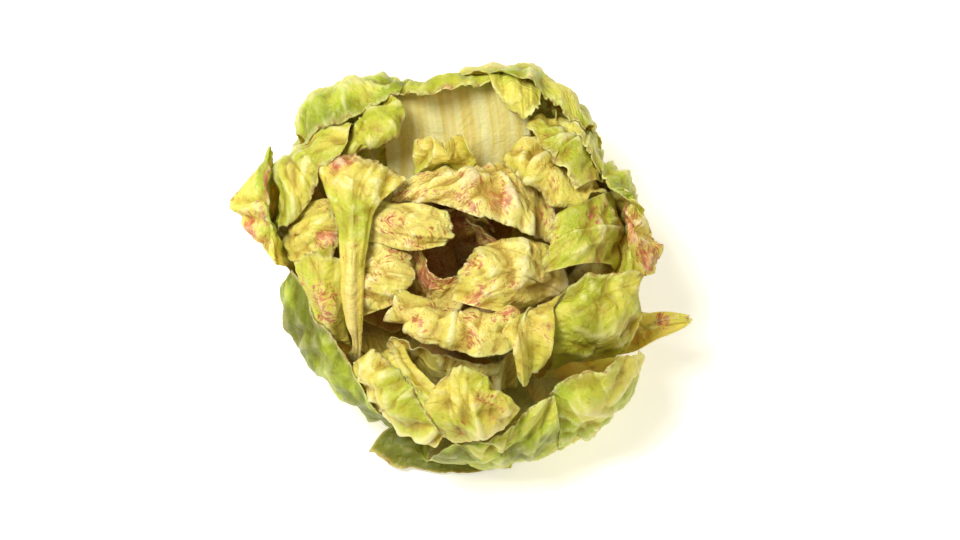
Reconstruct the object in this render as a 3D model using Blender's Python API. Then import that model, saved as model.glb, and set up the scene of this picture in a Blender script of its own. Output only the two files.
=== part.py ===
"""A loose head of variegated radicchio, standing on its cut stump.

The head is a short stump with the leaves that grow from it, laid over each other
from the small heart leaves outward. Each leaf is a closed solid of its own: a thin
blade that rises from its foot through rows of points to its tip, folded along it and
waved at its rim, with a thick midrib near the stump. Lengths in the leaf lists are
millimetres. The frame is metres, +Z up, with the origin in the middle of the stump's
cut face.
"""

import math

import bmesh
import bpy
import numpy as np
from mathutils import Matrix, Vector, noise
from mathutils.bvhtree import BVHTree

MM = 0.001

# Head: leaves are laid over each other outward from HEART
HEART = np.array([0.0, 0.0, 34.0])
BLADE_THICKNESS = 0.8
RIB_THICKNESS = 2.6
LEAF_GAP = 0.35
GROUND_GAP = 0.5

# Stump: its turned outline, radius and height
STUMP_OUTLINE = ((0, 0), (15.5, 0), (16.8, 1.2), (16.0, 5), (12.5, 12), (9, 20), (5.5, 29), (3, 36), (0, 38))
STUMP_SIDES = 24

# Leaf habit: pleats along the blade, waves at the rim, and folds as (degrees, span, depth)
PLEAT_DEPTH = 0.8
RIM_WAVE = 1.2
FOLD_WAVES = ((12, 27, 1.15), (-62, 21, 0.6), (-28, 17, 0.75))
SIGHT_DEGREES = 65
ROW_SOFTNESS = 5

# Cells along and across one leaf, for each ring of leaves
HEART_CELLS = (9, 8)
WRAPPER_CELLS = (10, 9)
OUTER_CELLS = (11, 10)

# Rounds in which a leaf is eased clear of itself and of those inside it
SETTLING = 8


def leaf(name, turn, foot, rows):
    """One leaf: turn is the way it grows, in degrees about Z. Its foot is a list of (distance from
    the axis, height, width), and its rows, from there to the tip, hold points (right, up, height),
    right and up as the eye sees them from SIGHT_DEGREES above the front."""
    return dict(name=name, turn=math.radians(turn), foot=foot, rows=rows)


# Small folded leaves of the heart, from the innermost out
HEART_LEAVES = (
    leaf("heart_leaf_1", 20, ((4, 40, 8), (16, 50, 18)), (
        ((13, 11, 62), (22, 24, 62), (23, 34, 62), (9, 45, 62)),
        ((11, 20, 78), (18, 31, 78), (18, 40, 78), (6, 50, 78)))),
    leaf("heart_leaf_2", 240, ((4.4, 39, 8), (16, 47, 18)), (
        ((-22, 30, 62), (-18, 14, 62), (-8, 6, 62), (12, 9, 62)),
        ((-14, 37, 80), (-10, 25, 80), (-4, 21, 80), (7, 23, 80)))),
    leaf("heart_leaf_3", 120, ((4.8, 37.9, 9), (18, 48, 20)), (
        ((20, 43, 66), (3, 51, 66), (-18, 46, 66), (-25, 24, 66)),
        ((16, 48, 84), (2, 55, 84), (-15, 50, 84), (-21, 32, 84)))),
    leaf("heart_leaf_4", 198, ((5.2, 36.9, 9), (36, 44, 34)), (
        ((-52.5, 35, 66), (-52.5, 20, 68), (-50.5, 5, 60)),
        ((-40.5, 38.5, 80), (-42, 22.5, 85), (-41, 4, 73)),
        ((-29.5, 36.5, 84), (-30, 23.5, 90), (-32, 7.5, 78)),
        ((-18.5, 31, 82), (-17, 21, 86), (-26, 10, 80)))),
    leaf("heart_leaf_5", 333, ((5.6, 35.9, 9), (38, 44, 36)), (
        ((52.5, 32.5, 66), (52.5, 17.5, 64), (37.5, 4, 58)),
        ((47.5, 35.5, 82), (41.5, 21, 82), (29, 3.5, 76)),
        ((35.5, 40, 88), (28.5, 26, 92), (18.5, 6.5, 84)),
        ((21.5, 41, 88), (15.5, 29, 93), (6.5, 9, 85)),
        ((12.5, 37, 84), (4.5, 27.5, 87), (-1.5, 11.5, 82)))),
    leaf("heart_leaf_6", 270, ((6, 34.9, 10), (26, 46, 26)), (
        ((-15, 7, 62), (0, 3, 62), (17, 4, 64)),
        ((-19.5, 15.5, 76), (-6, 11, 79), (12, 8, 82), (28, 8, 80)),
        ((-23.5, 12, 80), (-9, 4, 87), (12, 1, 90), (31, 2, 85)),
        ((-28, 5, 79), (-12, -5, 85), (8, -8.5, 88), (24, -8, 85), (32.5, -4, 80)),
        ((-29.5, 2, 76), (-15, -8, 80), (-3, -12.5, 82), (9, -14.5, 83), (22, -13.5, 81), (31, -8, 78)))),
    leaf("heart_leaf_7", 268, ((6.4, 33.8, 10), (40, 38, 40)), (
        ((-29.5, -15, 46), (-2.5, -32, 40), (30.5, -30, 42)),
        ((-32, -10, 60), (-9.5, -22, 58), (12.5, -25, 56), (29.5, -20, 56)),
        ((-29, -6, 68), (-8, -15, 68), (12.5, -18, 67), (28, -12, 66)))),
    leaf("heart_leaf_8", 170, ((6.8, 32.8, 10), (38, 44, 30)), (
        ((-52.5, 57.5, 70), (-52.5, 47.5, 74), (-51.5, 37.5, 70)),
        ((-37.5, 56, 84), (-39.5, 49, 90), (-39.5, 38.5, 84)),
        ((-26.5, 56, 88), (-27.5, 46, 95), (-24.5, 34.5, 86)),
        ((-11.5, 54.5, 88), (-12.5, 45, 95), (-15.5, 34, 88)),
        ((-3.5, 50.5, 86), (1.5, 42, 89), (-4, 37, 86)))),
    leaf("heart_leaf_9", 77, ((7.2, 31.8, 11), (28, 50, 44)), (
        ((-15, 69.5, 80), (5, 71, 85), (22.5, 76, 85), (37.5, 70, 78)),
        ((-22.5, 64, 84), (-7.5, 68, 94), (12.5, 68, 98), (28.5, 64, 95), (45, 57.5, 84)),
        ((-27.5, 58.5, 84), (-7.5, 62, 96), (12.5, 59, 101), (30.5, 54, 98), (47.5, 46, 86)),
        ((-29, 57, 82), (-7.5, 56.5, 92), (12.5, 49.5, 96), (32.5, 41.5, 93), (46, 37, 84)))),
)

# Larger crumpled leaves wrapped about the heart
WRAPPER_LEAVES = (
    leaf("wrapper_leaf_1", 342, ((7.6, 30.7, 11), (52, 44, 20), (58, 62, 22)), (
        ((22, 6, 80), (30, 7, 85), (45.5, 8.5, 82)),
        ((17.5, 0, 86), (28.5, 1.5, 92), (36, 0, 87), (47, 4, 89)),
        ((26, -9, 84), (30.5, -11, 89), (36.5, -11, 82), (46, -13, 82)),
        ((29.5, -23, 76), (32.5, -29, 74), (36, -27.5, 72), (41.5, -21, 70)))),
    leaf("wrapper_leaf_2", 97, ((8, 29.7, 11), (34, 48, 24)), (
        ((9.5, 67.5, 78), (-5, 67, 79), (-18.5, 66, 76)),
        ((9.5, 78, 90), (3.5, 80, 86), (-1.5, 74, 93), (-8.5, 80, 92), (-17.5, 76, 84)),
        ((5.5, 89.5, 94), (-1.5, 88.5, 90), (-4.5, 84, 96), (-10.5, 89, 96), (-17.5, 86.5, 88)))),
    leaf("wrapper_leaf_3", 175, ((8.4, 28.7, 12), (44, 36, 30)), (
        ((-77.5, 47, 64), (-80.5, 40, 66), (-78.5, 32, 62)),
        ((-72, 51.5, 80), (-75.5, 41, 83), (-74.5, 29, 76)),
        ((-63.5, 58.5, 86), (-64.5, 44, 93), (-65, 30, 84)),
        ((-54.5, 58.5, 86), (-52.5, 44, 90), (-54.5, 29, 84)))),
    leaf("wrapper_leaf_4", 205, ((8.8, 27.7, 12), (48, 34, 32)), (
        ((-62.5, -5, 50), (-57, -9, 54), (-49.5, -10, 50)),
        ((-66.5, 9, 68), (-58.5, 7, 76), (-50.5, 6, 70)),
        ((-71, 22, 76), (-62, 20.5, 86), (-51.5, 19.5, 80)),
        ((-73.5, 31, 80), (-63.5, 33.5, 87), (-52, 31.5, 83)))),
    leaf("wrapper_leaf_5", 30, ((9.2, 26.6, 12), (48, 42, 44)), (
        ((37.5, 89, 82), (60, 77.5, 82), (73.5, 57.5, 76)),
        ((29.5, 85, 91), (46.5, 76, 96), (63.5, 61, 93)),
        ((24.5, 79.5, 93), (37.5, 70, 100), (52.5, 58.5, 100), (62, 57, 94)),
        ((24, 75.5, 89), (35, 63, 96), (46.5, 54, 97), (60, 52.5, 92)))),
    leaf("wrapper_leaf_6", 95, ((9.6, 25.6, 13), (44, 34, 44)), (
        ((-30, 61, 60), (-2.5, 64, 58), (31.5, 69, 60)),
        ((-33.5, 84, 76), (-2.5, 87, 74), (37.5, 90, 78)),
        ((-36, 105, 90), (-4.5, 110, 91), (33.5, 112, 91)),
        ((-33, 112, 96), (-5, 119, 101), (22.5, 120, 98)),
        ((-27, 108, 98), (-16.5, 106.5, 103.5), (-4.5, 108.5, 106), (7.5, 111, 104), (18.5, 114, 100)))),
    leaf("wrapper_leaf_7", 130, ((10, 24.6, 13), (52, 44, 30)), (
        ((-51, 86, 80), (-41.5, 98, 80), (-33, 105, 80)),
        ((-53, 79.5, 91), (-46.5, 89, 96), (-35, 99.5, 100), (-28.5, 104, 98)),
        ((-51.5, 78, 92), (-43.5, 84.5, 98), (-31.5, 91, 103), (-21.5, 101.5, 100)),
        ((-49.5, 77, 90), (-41.5, 83, 94), (-28.5, 86, 97), (-21, 92, 96)))),
    leaf("wrapper_leaf_8", 222, ((10.4, 23.5, 13), (62, 36, 20)), (
        ((-46, -12, 62), (-44.7, -12, 63), (-43.5, -12, 62)),
        ((-51.5, 8, 80), (-47, 7, 84), (-41.5, 6, 80)),
        ((-52, 28, 90), (-46.5, 28, 95), (-40.5, 28, 90)),
        ((-53, 47, 94), (-46, 47, 99), (-38, 47, 95)),
        ((-59, 63, 95), (-49, 62, 101), (-35, 57, 97)),
        ((-65, 72, 95), (-54, 72, 101), (-40, 69, 104), (-26, 63, 98)),
        ((-62, 77, 93), (-50, 79, 98), (-38, 78, 103), (-21, 68, 98)))),
    leaf("wrapper_leaf_9", 45, ((10.8, 22.5, 14), (56, 44, 36)), (
        ((45, 99, 82), (66.5, 85, 80), (74.5, 65, 74)),
        ((36.5, 96, 92), (55.5, 85, 96), (64, 66.5, 90)),
        ((33.5, 91.5, 92), (45, 80, 98), (53.5, 59.5, 95)))),
    leaf("wrapper_leaf_10", 5, ((11.2, 21.5, 14), (54, 34, 40)), (
        ((76.5, 61, 68), (78.5, 42.5, 66), (75.5, 25, 62)),
        ((72, 61.5, 86), (73.5, 46, 86), (71, 28.5, 80)),
        ((62, 57.5, 95), (61, 44, 97), (60, 28.5, 91)),
        ((51, 53, 95), (50, 40, 98), (50.5, 26, 91)),
        ((46.5, 49, 91), (45.5, 37, 93), (37.5, 22.5, 86)))),
    leaf("wrapper_leaf_11", 246, ((11.6, 20.5, 15), (56, 34, 26)), (
        ((-23.5, -8, 66), (-28.5, -10.5, 68), (-33.5, -12.5, 64)),
        ((-21, -16, 76), (-26.5, -15.5, 80), (-31.5, -16.5, 75)),
        ((-10.5, -26, 78), (-18.5, -27.5, 83), (-25, -27, 76)),
        ((-2.5, -37, 76), (-9.5, -38.5, 80), (-16, -38.5, 74)),
        ((1.5, -46, 70), (-3, -48, 70), (-7.5, -46.5, 68)))),
    leaf("wrapper_leaf_12", 277, ((12, 19.4, 15), (50, 29, 36)), (
        ((-5.5, -51, 54), (7.5, -53, 54), (25.5, -45, 54)),
        ((-5.5, -47, 66), (4.5, -50.5, 68), (18.5, -46, 70), (31.5, -38, 68)),
        ((-11.5, -39, 74), (3.5, -41, 80), (17.5, -38.5, 81), (28, -35.5, 76)),
        ((-12, -30.5, 77), (2.5, -29, 84), (14.5, -30, 83), (23.5, -33.5, 77)),
        ((-7.5, -24.5, 77), (1.5, -19, 81), (12, -20.5, 81), (21, -29, 77)))),
    leaf("wrapper_leaf_13", 240, ((12.4, 18.4, 15), (64, 28, 36)), (
        ((-46, -18, 62), (-41, -27, 64), (-31, -40, 62), (-22, -48, 58), (-8, -56, 54)),
        ((-44.5, -16.5, 71), (-36, -26, 76), (-27, -38, 76), (-17, -47, 70), (-7, -55, 62)),
        ((-40, -14.5, 74), (-32, -23, 80), (-22.5, -34, 80), (-13, -44.5, 74), (-5.5, -53, 66)),
        ((-34, -11, 73), (-25, -21.5, 78), (-16, -32, 78), (-8, -42, 73), (-4, -50, 67)))),
    leaf("wrapper_leaf_14", 335, ((12.8, 17.4, 16), (56, 26, 44)), (
        ((46.5, -18, 54), (60, -18, 56), (78.5, -13.5, 52)),
        ((46.5, -14, 68), (57.5, -12.5, 72), (68.5, -9.5, 70), (83.5, -6, 60)),
        ((46.5, 4, 80), (56.5, 8, 88), (67.5, 11, 90), (81.5, 9, 82), (88.5, 7, 74)),
        ((50.5, 11, 82), (59.5, 15, 86), (70.5, 18, 86), (82.5, 15, 80)),
        ((54.5, 18, 82), (63, 23, 86), (72.5, 24, 89), (81.5, 26, 88), (87.5, 24, 82)))),
    leaf("wrapper_leaf_15", 150, ((13.2, 16.3, 16), (60, 28, 46)), (
        ((-83.5, 44, 56), (-81.5, 75, 60), (-61.5, 93, 64), (-42.5, 100, 64)),
        ((-84, 42, 74), (-84, 74, 82), (-66, 86, 87), (-46, 93, 86)),
        ((-84, 47, 84), (-80, 75, 92), (-63, 84, 96), (-46, 90, 94)),
        ((-80, 46, 86), (-74, 66, 94), (-60, 76, 98), (-47, 83, 98)),
        ((-77, 45, 82), (-67, 57, 90), (-58, 66, 94), (-50, 74, 97)))),
)

# Outer leaves, the last of them lying on the ground
OUTER_LEAVES = (
    leaf("outer_leaf_1", 8, ((13.6, 15.3, 16), (60, 24, 46)), (
        ((72.5, 68, 58), (73.5, 47.5, 56), (75.5, 20, 52)),
        ((78, 66, 80), (77.5, 49, 80), (77.5, 20, 72)),
        ((82, 63, 87), (82.5, 48, 87), (81.5, 20.5, 78)),
        ((86.5, 57, 84), (89, 42, 82), (87, 21.5, 74)),
        ((89.5, 52, 79), (99.5, 37, 72), (96.5, 24, 70)))),
    leaf("outer_leaf_2", 44, ((14, 14.3, 17), (74, 34, 40)), (
        ((76.5, 68, 62), (66.5, 90, 66), (45, 104, 66)),
        ((72.5, 72, 82), (62, 89, 88), (47.5, 99, 89)),
        ((71, 67, 85), (59.5, 82, 93), (50.5, 93, 92)))),
    leaf("outer_leaf_3", 24, ((14.4, 13.3, 17), (74, 28, 34)), (
        ((85.5, 40, 60), (86.5, 59, 62), (74.5, 77, 64)),
        ((84.5, 50, 80), (81, 65, 84), (71.5, 75, 85)),
        ((80, 55, 87), (74.5, 62, 90), (68.5, 70, 88)))),
    leaf("outer_leaf_4", 72, ((14.8, 12.2, 17), (64, 30, 40)), (
        ((45.5, 114, 76), (30, 122, 78), (11.5, 114, 76)),
        ((43, 114, 93), (30, 120, 97), (14.5, 115, 95)),
        ((41, 108.5, 98), (28.5, 110, 103), (17.5, 108.5, 98)),
        ((41.5, 101, 96), (33.5, 96, 98), (24, 102, 96), (20.5, 106, 96)))),
    leaf("outer_leaf_5", 215, ((15.2, 11.2, 18), (60, 14, 56)), (
        ((-27, -50, 24), (-42, -43, 26), (-58, -34, 30), (-70, -19, 36), (-80, 4, 42), (-82, 16, 50)),
        ((-30, -45, 40), (-43, -34, 46), (-55, -25, 50), (-65, -10, 54), (-74, 6, 58), (-80, 20, 62)),
        ((-35, -38, 51), (-44, -23, 58), (-51, -11, 62), (-59, 2, 64), (-67, 15, 66), (-75, 26, 67)))),
    leaf("outer_leaf_6", 285, ((15.6, 10.2, 18), (62, 12, 56)), (
        ((-13.5, -66, 12), (12.5, -69, 12), (37.5, -65, 14), (53.5, -60, 18)),
        ((-7.5, -61.5, 32), (17.5, -62.5, 36), (36.5, -59.5, 38), (50, -54, 40)),
        ((0, -58, 46), (20.5, -56, 50), (37, -49, 56), (48.5, -42, 60)),
        ((6, -56, 50), (22.5, -50, 58), (35, -39, 66), (46.5, -30, 70)))),
    leaf("outer_leaf_7", 167, ((16, 9.1, 18), (62, 18, 46)), (
        ((-76, 71, 76), (-74.5, 49, 74), (-76.5, 26, 64)),
        ((-79.5, 77, 92), (-79.5, 52.5, 91), (-80, 27.5, 81)),
        ((-83, 84, 94), (-85, 57, 93), (-83.5, 29.5, 82)),
        ((-90, 76, 88), (-94.5, 57, 87), (-90, 35, 78)),
        ((-99.5, 67, 80), (-107, 56.5, 78), (-98.5, 45, 76)))),
    leaf("outer_leaf_8", 353, ((16.4, 8.1, 19), (64, 10, 40)), (
        ((84, 7, 38), (88, -4, 42), (88, -14, 35)),
        ((95, 5, 44), (96, -1, 48), (97.5, -7.5, 44)),
        ((104.5, 6.5, 46), (105, 0.5, 49), (105, -5.5, 46)),
        ((112, 4.5, 45), (114, 1, 46), (112.5, -2, 44)))),
    leaf("outer_leaf_9", 62, ((16.8, 7.1, 19), (66, 16, 54)), (
        ((72.5, 81, 40), (55.5, 113, 48), (32.5, 121, 54), (-4, 114, 56)),
        ((66, 93.5, 80), (55.5, 113, 86), (32.5, 123.5, 92), (2, 117, 93)),
        ((63, 94.5, 87), (51, 110.5, 96), (32.5, 121, 102), (15.5, 117, 101)),
        ((61, 90, 88), (52.5, 96, 92), (45.5, 104, 98), (37.5, 113, 103), (24, 118, 103)))),
    leaf("outer_leaf_10", 126, ((17.2, 6.1, 19), (64, 14, 54)), (
        ((-78.5, 77.5, 40), (-68.5, 101, 50), (-44.5, 112, 56), (-16, 113, 56)),
        ((-78, 89.5, 72), (-70.5, 104.5, 82), (-54.5, 113, 88), (-21, 116, 90)),
        ((-74, 91, 84), (-64, 103.5, 94), (-51, 110, 98), (-24.5, 112, 98)),
        ((-68.5, 81.5, 84), (-59, 90.5, 91), (-46, 97.5, 96), (-25, 105, 97)))),
    leaf("outer_leaf_11", 320, ((17.6, 5, 20), (70, 8, 54)), (
        ((48.5, -58, 18), (68.5, -52, 20), (83.5, -35, 24), (89.5, -16, 28)),
        ((46.5, -53, 36), (65, -48, 43), (81.5, -33, 47), (89, -16, 49)),
        ((45, -39, 55), (60.5, -34, 64), (76.5, -25, 66), (87.5, -13, 64)),
        ((43.5, -29.5, 64), (57.5, -21.5, 73), (71.5, -17.5, 75), (86.5, -13, 71)))),
    leaf("outer_leaf_12", 262, ((18, 4, 20), (50, 3.5, 50)), (
        ((-27.5, -48.5, 18), (-12.5, -57, 15), (7.5, -61, 11), (33, -62, 8)),
        ((-36, -54, 12), (-22, -64, 9), (-3, -68, 6), (28.5, -68, 4)),
        ((-41.5, -63, 7), (-31, -70, 4), (-12.5, -73, 2.5), (8, -74, 2), (27, -71.5, 2)))),
)


def smoothed(line, reach):
    """The rows of line, each averaged with reach rows on either side, the ends kept"""
    bell = np.hanning(2 * reach + 3)[1:-1]
    bell /= bell.sum()
    before = 2 * line[0] - line[reach:0:-1]
    after = 2 * line[-1] - line[-2:-reach - 2:-1]
    whole = np.concatenate([before, line, after])
    return np.stack([np.convolve(column, bell, mode="valid") for column in whole.T], axis=1)


def fold(x):
    """A triangle wave of period 1 with slightly soft corners"""
    return np.arcsin(0.93 * np.sin(2 * math.pi * x)) / math.asin(0.93)


def folds(v, s, half, length, seed):
    """The height of the pleats, rim waves and folds above the smooth blade"""
    grown = np.clip((s - 0.18) / 0.82, 0, 1)
    rim = np.clip(np.maximum(np.abs(v), (s - 0.45) / 0.55), 0, 1)
    height = PLEAT_DEPTH * grown ** 1.2 * (0.35 + 0.65 * np.abs(v)) * fold(
        1.5 * v + 0.37 * seed + 0.35 * np.sin(3 * s + seed))
    angle = np.arctan2(v, s - 0.3)
    wave = 0.7 * np.sin(3.3 * angle + 1.3 * seed) + 0.5 * np.sin(6.1 * angle + 2.9 * seed) * np.sin(
        2.3 * angle + 0.7 * seed)
    height += RIM_WAVE * rim ** 3 * wave
    across = v * half + 37.0 * seed
    along = s * length
    drift = np.zeros(v.shape)
    calm = np.zeros(v.shape)
    for at in np.ndindex(v.shape):
        drift[at] = noise.noise((across[at] / 26, along[at] / 40, seed * 3.1))
        calm[at] = 0.55 + 0.9 * noise.noise((across[at] / 30 + 9, along[at] / 30, seed * 1.7))
    calm = np.clip(calm, 0.1, 1.3)
    for k, (degrees, span, depth) in enumerate(FOLD_WAVES):
        turn = math.radians(degrees + 9 * math.sin(seed * (k + 2.3)))
        crossing = (across * math.cos(turn) + along * math.sin(turn)) / span
        strength = calm if k % 2 else 1.4 - calm
        height += depth * strength * np.clip(0.12 + 1.2 * grown, 0, 1) * fold(
            crossing + 1.5 * drift + 0.61 * seed * (k + 1))
    return height


def normals(points):
    """The way out of the sheet's back at each of its points"""
    cross = np.cross(np.gradient(points, axis=1), np.gradient(points, axis=0))
    return cross / np.maximum(np.linalg.norm(cross, axis=2, keepdims=True), 1e-9)


def along_line(points, at):
    """A line of points read at shares of its length"""
    far = np.concatenate([[0], np.cumsum(np.linalg.norm(np.diff(points, axis=0), axis=1))])
    return np.stack([np.interp(at, far / far[-1], points[:, k]) for k in range(3)], axis=1)


def net(blade, s, v):
    """A leaf's points at shares s of its length and v of its half width, its half width there and
    its length"""
    out = np.array([math.cos(blade["turn"]), math.sin(blade["turn"]), 0.0])
    left = np.array([-out[1], out[0], 0.0])
    tilt = math.radians(SIGHT_DEGREES)
    lines = [np.array([out * r + [0, 0, z] - left * width / 2, out * r + [0, 0, z] + left * width / 2])
             for r, z, width in blade["foot"]]
    for row in blade["rows"]:
        line = np.array([(right, (up - z * math.cos(tilt)) / math.sin(tilt), z) for right, up, z in row])
        before = lines[-1][-1] - lines[-1][0]
        lines.append(line if (line[-1] - line[0]) @ before > 0 else line[::-1])
    even = np.linspace(0, 1, 61)
    grid = np.stack([smoothed(along_line(line, even), ROW_SOFTNESS) for line in lines])
    steps = np.linalg.norm(np.diff(grid, axis=0), axis=2).mean(axis=1)
    length = steps.sum()
    far = np.concatenate([[0], np.cumsum(steps)]) / length
    fine = np.linspace(0, 1, 97)
    columns = [np.stack([np.interp(fine, far, grid[:, c, k]) for k in range(3)], axis=1) for c in range(61)]
    grid = np.stack([smoothed(column, ROW_SOFTNESS + 2) for column in columns], axis=1)
    half = np.linalg.norm(np.diff(grid, axis=1), axis=2).sum(axis=1) / 2
    row, column = np.clip(s, 0, 1) * 96, (v + 1) * 30
    i, j = np.minimum(row.astype(int), 95), np.minimum(column.astype(int), 59)
    a, b = (row - i)[..., None], (column - j)[..., None]
    points = (grid[i, j] * (1 - a) + grid[i + 1, j] * a) * (1 - b) + (
        grid[i, j + 1] * (1 - a) + grid[i + 1, j + 1] * a) * b
    return points, np.interp(s, fine, half), length


def sheet(blade, seed, cells):
    """The middle surface of a leaf before it is laid over the others, and its thickness"""
    rows, columns = cells
    across = np.linspace(-1, 1, columns + 1)
    v, u = np.meshgrid(np.sign(across) * np.abs(across) ** 0.9, np.linspace(0, 1, rows + 1) ** 0.85)
    uneven = 0.008 * np.sin(4.3 * v + 2.1 * seed) + 0.005 * np.sin(10.7 * v + 4.4 * seed)
    s = u * (1 - 0.012 * np.abs(v) ** 2.6 * u) * (1 + uneven * u ** 2)
    points, half, length = net(blade, s, v)
    points = points + normals(points) * folds(v, s, half, length, seed)[..., None]
    rib = RIB_THICKNESS * np.clip(1 - 1.15 * s, 0, 1) ** 1.4 * np.exp(-(v * half / (9 - 5 * s)) ** 2)
    return points, BLADE_THICKNESS + rib


def spread(push, grow, soften):
    """A push at some points of the grid, carried over smoothly to those around them"""
    wide = push
    for _ in range(grow):
        p = np.pad(wide, 1, mode="edge")
        wide = np.maximum.reduce([p[1:-1, 1:-1], p[:-2, 1:-1], p[2:, 1:-1], p[1:-1, :-2], p[1:-1, 2:]])
    for _ in range(soften):
        p = np.pad(wide, 1, mode="edge")
        rows = (p[:-2] + 2 * p[1:-1] + p[2:]) / 4
        wide = (rows[:, :-2] + 2 * rows[:, 1:-1] + rows[:, 2:]) / 4
    return np.maximum(wide, push)


def outward(points):
    """The way from the heart to each point, and how far that is"""
    offset = points - HEART
    radius = np.linalg.norm(offset, axis=2)
    return offset / np.maximum(radius, 1e-6)[..., None], radius


def above_ground(points, thick):
    """Lifts the points that would reach the ground, the more gently the higher they are"""
    soft = 4.0
    height = points[..., 2] - thick / 2
    top = GROUND_GAP + soft
    eased = GROUND_GAP + soft * np.exp((np.minimum(height, top) - top) / soft)
    lifted = points.copy()
    lifted[..., 2] += np.where(height < top, eased - height, 0)
    return lifted


def laid_over(points, thick, inner):
    """Moves the points outward until each is outside the leaves in inner"""
    way, radius = outward(points)
    push = np.zeros(radius.shape)
    beyond = 400.0
    for at in np.ndindex(radius.shape):
        start = Vector(HEART + way[at] * beyond)
        for tree in inner:
            place, _, _, distance = tree.ray_cast(start, -Vector(way[at]), beyond)
            if place is not None:
                need = beyond - distance + thick[at] / 2 + LEAF_GAP
                push[at] = max(push[at], need - radius[at])
    return points + way * spread(push, 1, 2)[..., None]


def solid(points, thick):
    """The closed solid of a leaf, with its two faces split into triangles alike"""
    rows, columns = points.shape[0] - 1, points.shape[1] - 1
    reach = normals(points) * (thick / 2)[..., None]
    front = (points - reach).reshape(-1, 3)
    rear = (points + reach).reshape(-1, 3)
    body = bmesh.new()
    bmesh.ops.create_grid(body, x_segments=columns, y_segments=rows, size=1)
    place = body.verts.layers.int.new("place")
    for number, vert in enumerate(body.verts):
        vert[place] = number
    bmesh.ops.triangulate(body, faces=body.faces[:], quad_method="FIXED")
    grown = bmesh.ops.extrude_face_region(body, geom=body.faces[:], use_keep_orig=True)
    for vert in body.verts:
        vert.co = front[vert[place]]
    for vert in grown["geom"]:
        if isinstance(vert, bmesh.types.BMVert):
            vert.co = rear[vert[place]]
    bmesh.ops.recalc_face_normals(body, faces=body.faces[:])
    if body.calc_volume(signed=True) < 0:
        bmesh.ops.reverse_faces(body, faces=body.faces[:])
    return body


def clear_of(points, thick, inner):
    """Moves a leaf outward where its solid would still touch one inside it"""
    columns = points.shape[1]
    for _ in range(60):
        body = solid(points, thick + 2 * LEAF_GAP)
        body.faces.ensure_lookup_table()
        place = body.verts.layers.int["place"]
        skin = BVHTree.FromBMesh(body)
        push = np.zeros(points.shape[:2])
        for tree in inner:
            for own, _ in skin.overlap(tree):
                for vert in body.faces[own].verts:
                    push[divmod(vert[place], columns)] = 0.5
        body.free()
        if not push.any():
            return points
        way, _ = outward(points)
        points = above_ground(points + way * spread(push, 0, 1)[..., None], thick)
    return points


def uncrossed(points, thick):
    """Eases out the folds of a leaf where its solid would cut through itself"""
    columns = points.shape[1]
    for _ in range(120):
        body = solid(points, thick + LEAF_GAP)
        body.faces.ensure_lookup_table()
        place = body.verts.layers.int["place"]
        skin = BVHTree.FromBMesh(body)
        share = np.zeros(points.shape[:2])
        for one, other in skin.overlap(skin):
            corners = set(body.faces[one].verts), set(body.faces[other].verts)
            if len(corners[0] & corners[1]) < 2:
                for vert in corners[0] | corners[1]:
                    share[divmod(vert[place], columns)] = 1
        body.free()
        if not share.any():
            return points
        p = np.pad(points, ((1, 1), (1, 1), (0, 0)), mode="reflect", reflect_type="odd")
        mean = (p[:-2, 1:-1] + p[2:, 1:-1] + p[1:-1, :-2] + p[1:-1, 2:]) / 4
        points = points + (mean - points) * 0.5 * spread(share, 1, 1)[..., None]
    return points


def material(name, colour, roughness):
    """A plain finish of one colour"""
    made = bpy.data.materials.new(name)
    made.use_nodes = True
    surface = made.node_tree.nodes["Principled BSDF"]
    surface.inputs["Base Color"].default_value = (*colour, 1)
    surface.inputs["Roughness"].default_value = roughness
    surface.inputs["Metallic"].default_value = 0
    return made


def place_object(name, body, finish):
    """Makes an object of a finished solid, from millimetres"""
    body.transform(Matrix.Scale(MM, 4))
    mesh = bpy.data.meshes.new(name)
    body.to_mesh(mesh)
    body.free()
    mesh.materials.append(finish)
    mesh.shade_smooth()
    mesh.set_sharp_from_angle(angle=math.radians(50))
    made = bpy.data.objects.new(name, mesh)
    bpy.context.scene.collection.objects.link(made)
    return made


def stump_body():
    """The stump, turned from its outline"""
    body = bmesh.new()
    verts = [body.verts.new((radius, 0, height)) for radius, height in STUMP_OUTLINE]
    edges = [body.edges.new(pair) for pair in zip(verts, verts[1:])]
    bmesh.ops.spin(body, geom=verts + edges, cent=(0, 0, 0), axis=(0, 0, 1), angle=2 * math.pi,
                   steps=STUMP_SIDES, use_merge=True)
    bmesh.ops.remove_doubles(body, verts=body.verts[:], dist=0.01)
    bmesh.ops.recalc_face_normals(body, faces=body.faces[:])
    bmesh.ops.triangulate(body, faces=body.faces[:])
    return body


def rings():
    """Each ring of leaves with its cells, its material's name, colour and roughness"""
    return ((HEART_LEAVES, HEART_CELLS, "heart_leaf", (0.80, 0.70, 0.24), 0.5),
            (WRAPPER_LEAVES, WRAPPER_CELLS, "wrapper_leaf", (0.72, 0.68, 0.20), 0.5),
            (OUTER_LEAVES, OUTER_CELLS, "outer_leaf", (0.52, 0.60, 0.14), 0.5))


def build_head():
    """The stump, then every leaf from the heart outward"""
    stump = stump_body()
    inner = [BVHTree.FromBMesh(stump)]
    place_object("stump", stump, material("stump", (0.75, 0.70, 0.50), 0.6))
    seed = 0
    for leaves, cells, finish_name, colour, roughness in rings():
        finish = material(finish_name, colour, roughness)
        for blade in leaves:
            seed += 1
            points, thick = sheet(blade, seed, cells)
            points = above_ground(laid_over(points, thick, inner), thick)
            for _ in range(SETTLING):
                points = clear_of(uncrossed(points, thick), thick, inner)
            body = solid(points, thick)
            inner.append(BVHTree.FromBMesh(body))
            place_object(blade["name"], body, finish)


for old in list(bpy.data.objects):
    bpy.data.objects.remove(old)
build_head()
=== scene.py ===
"""A loose head of variegated radicchio on a pale floor, seen from above and a little in front."""

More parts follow.
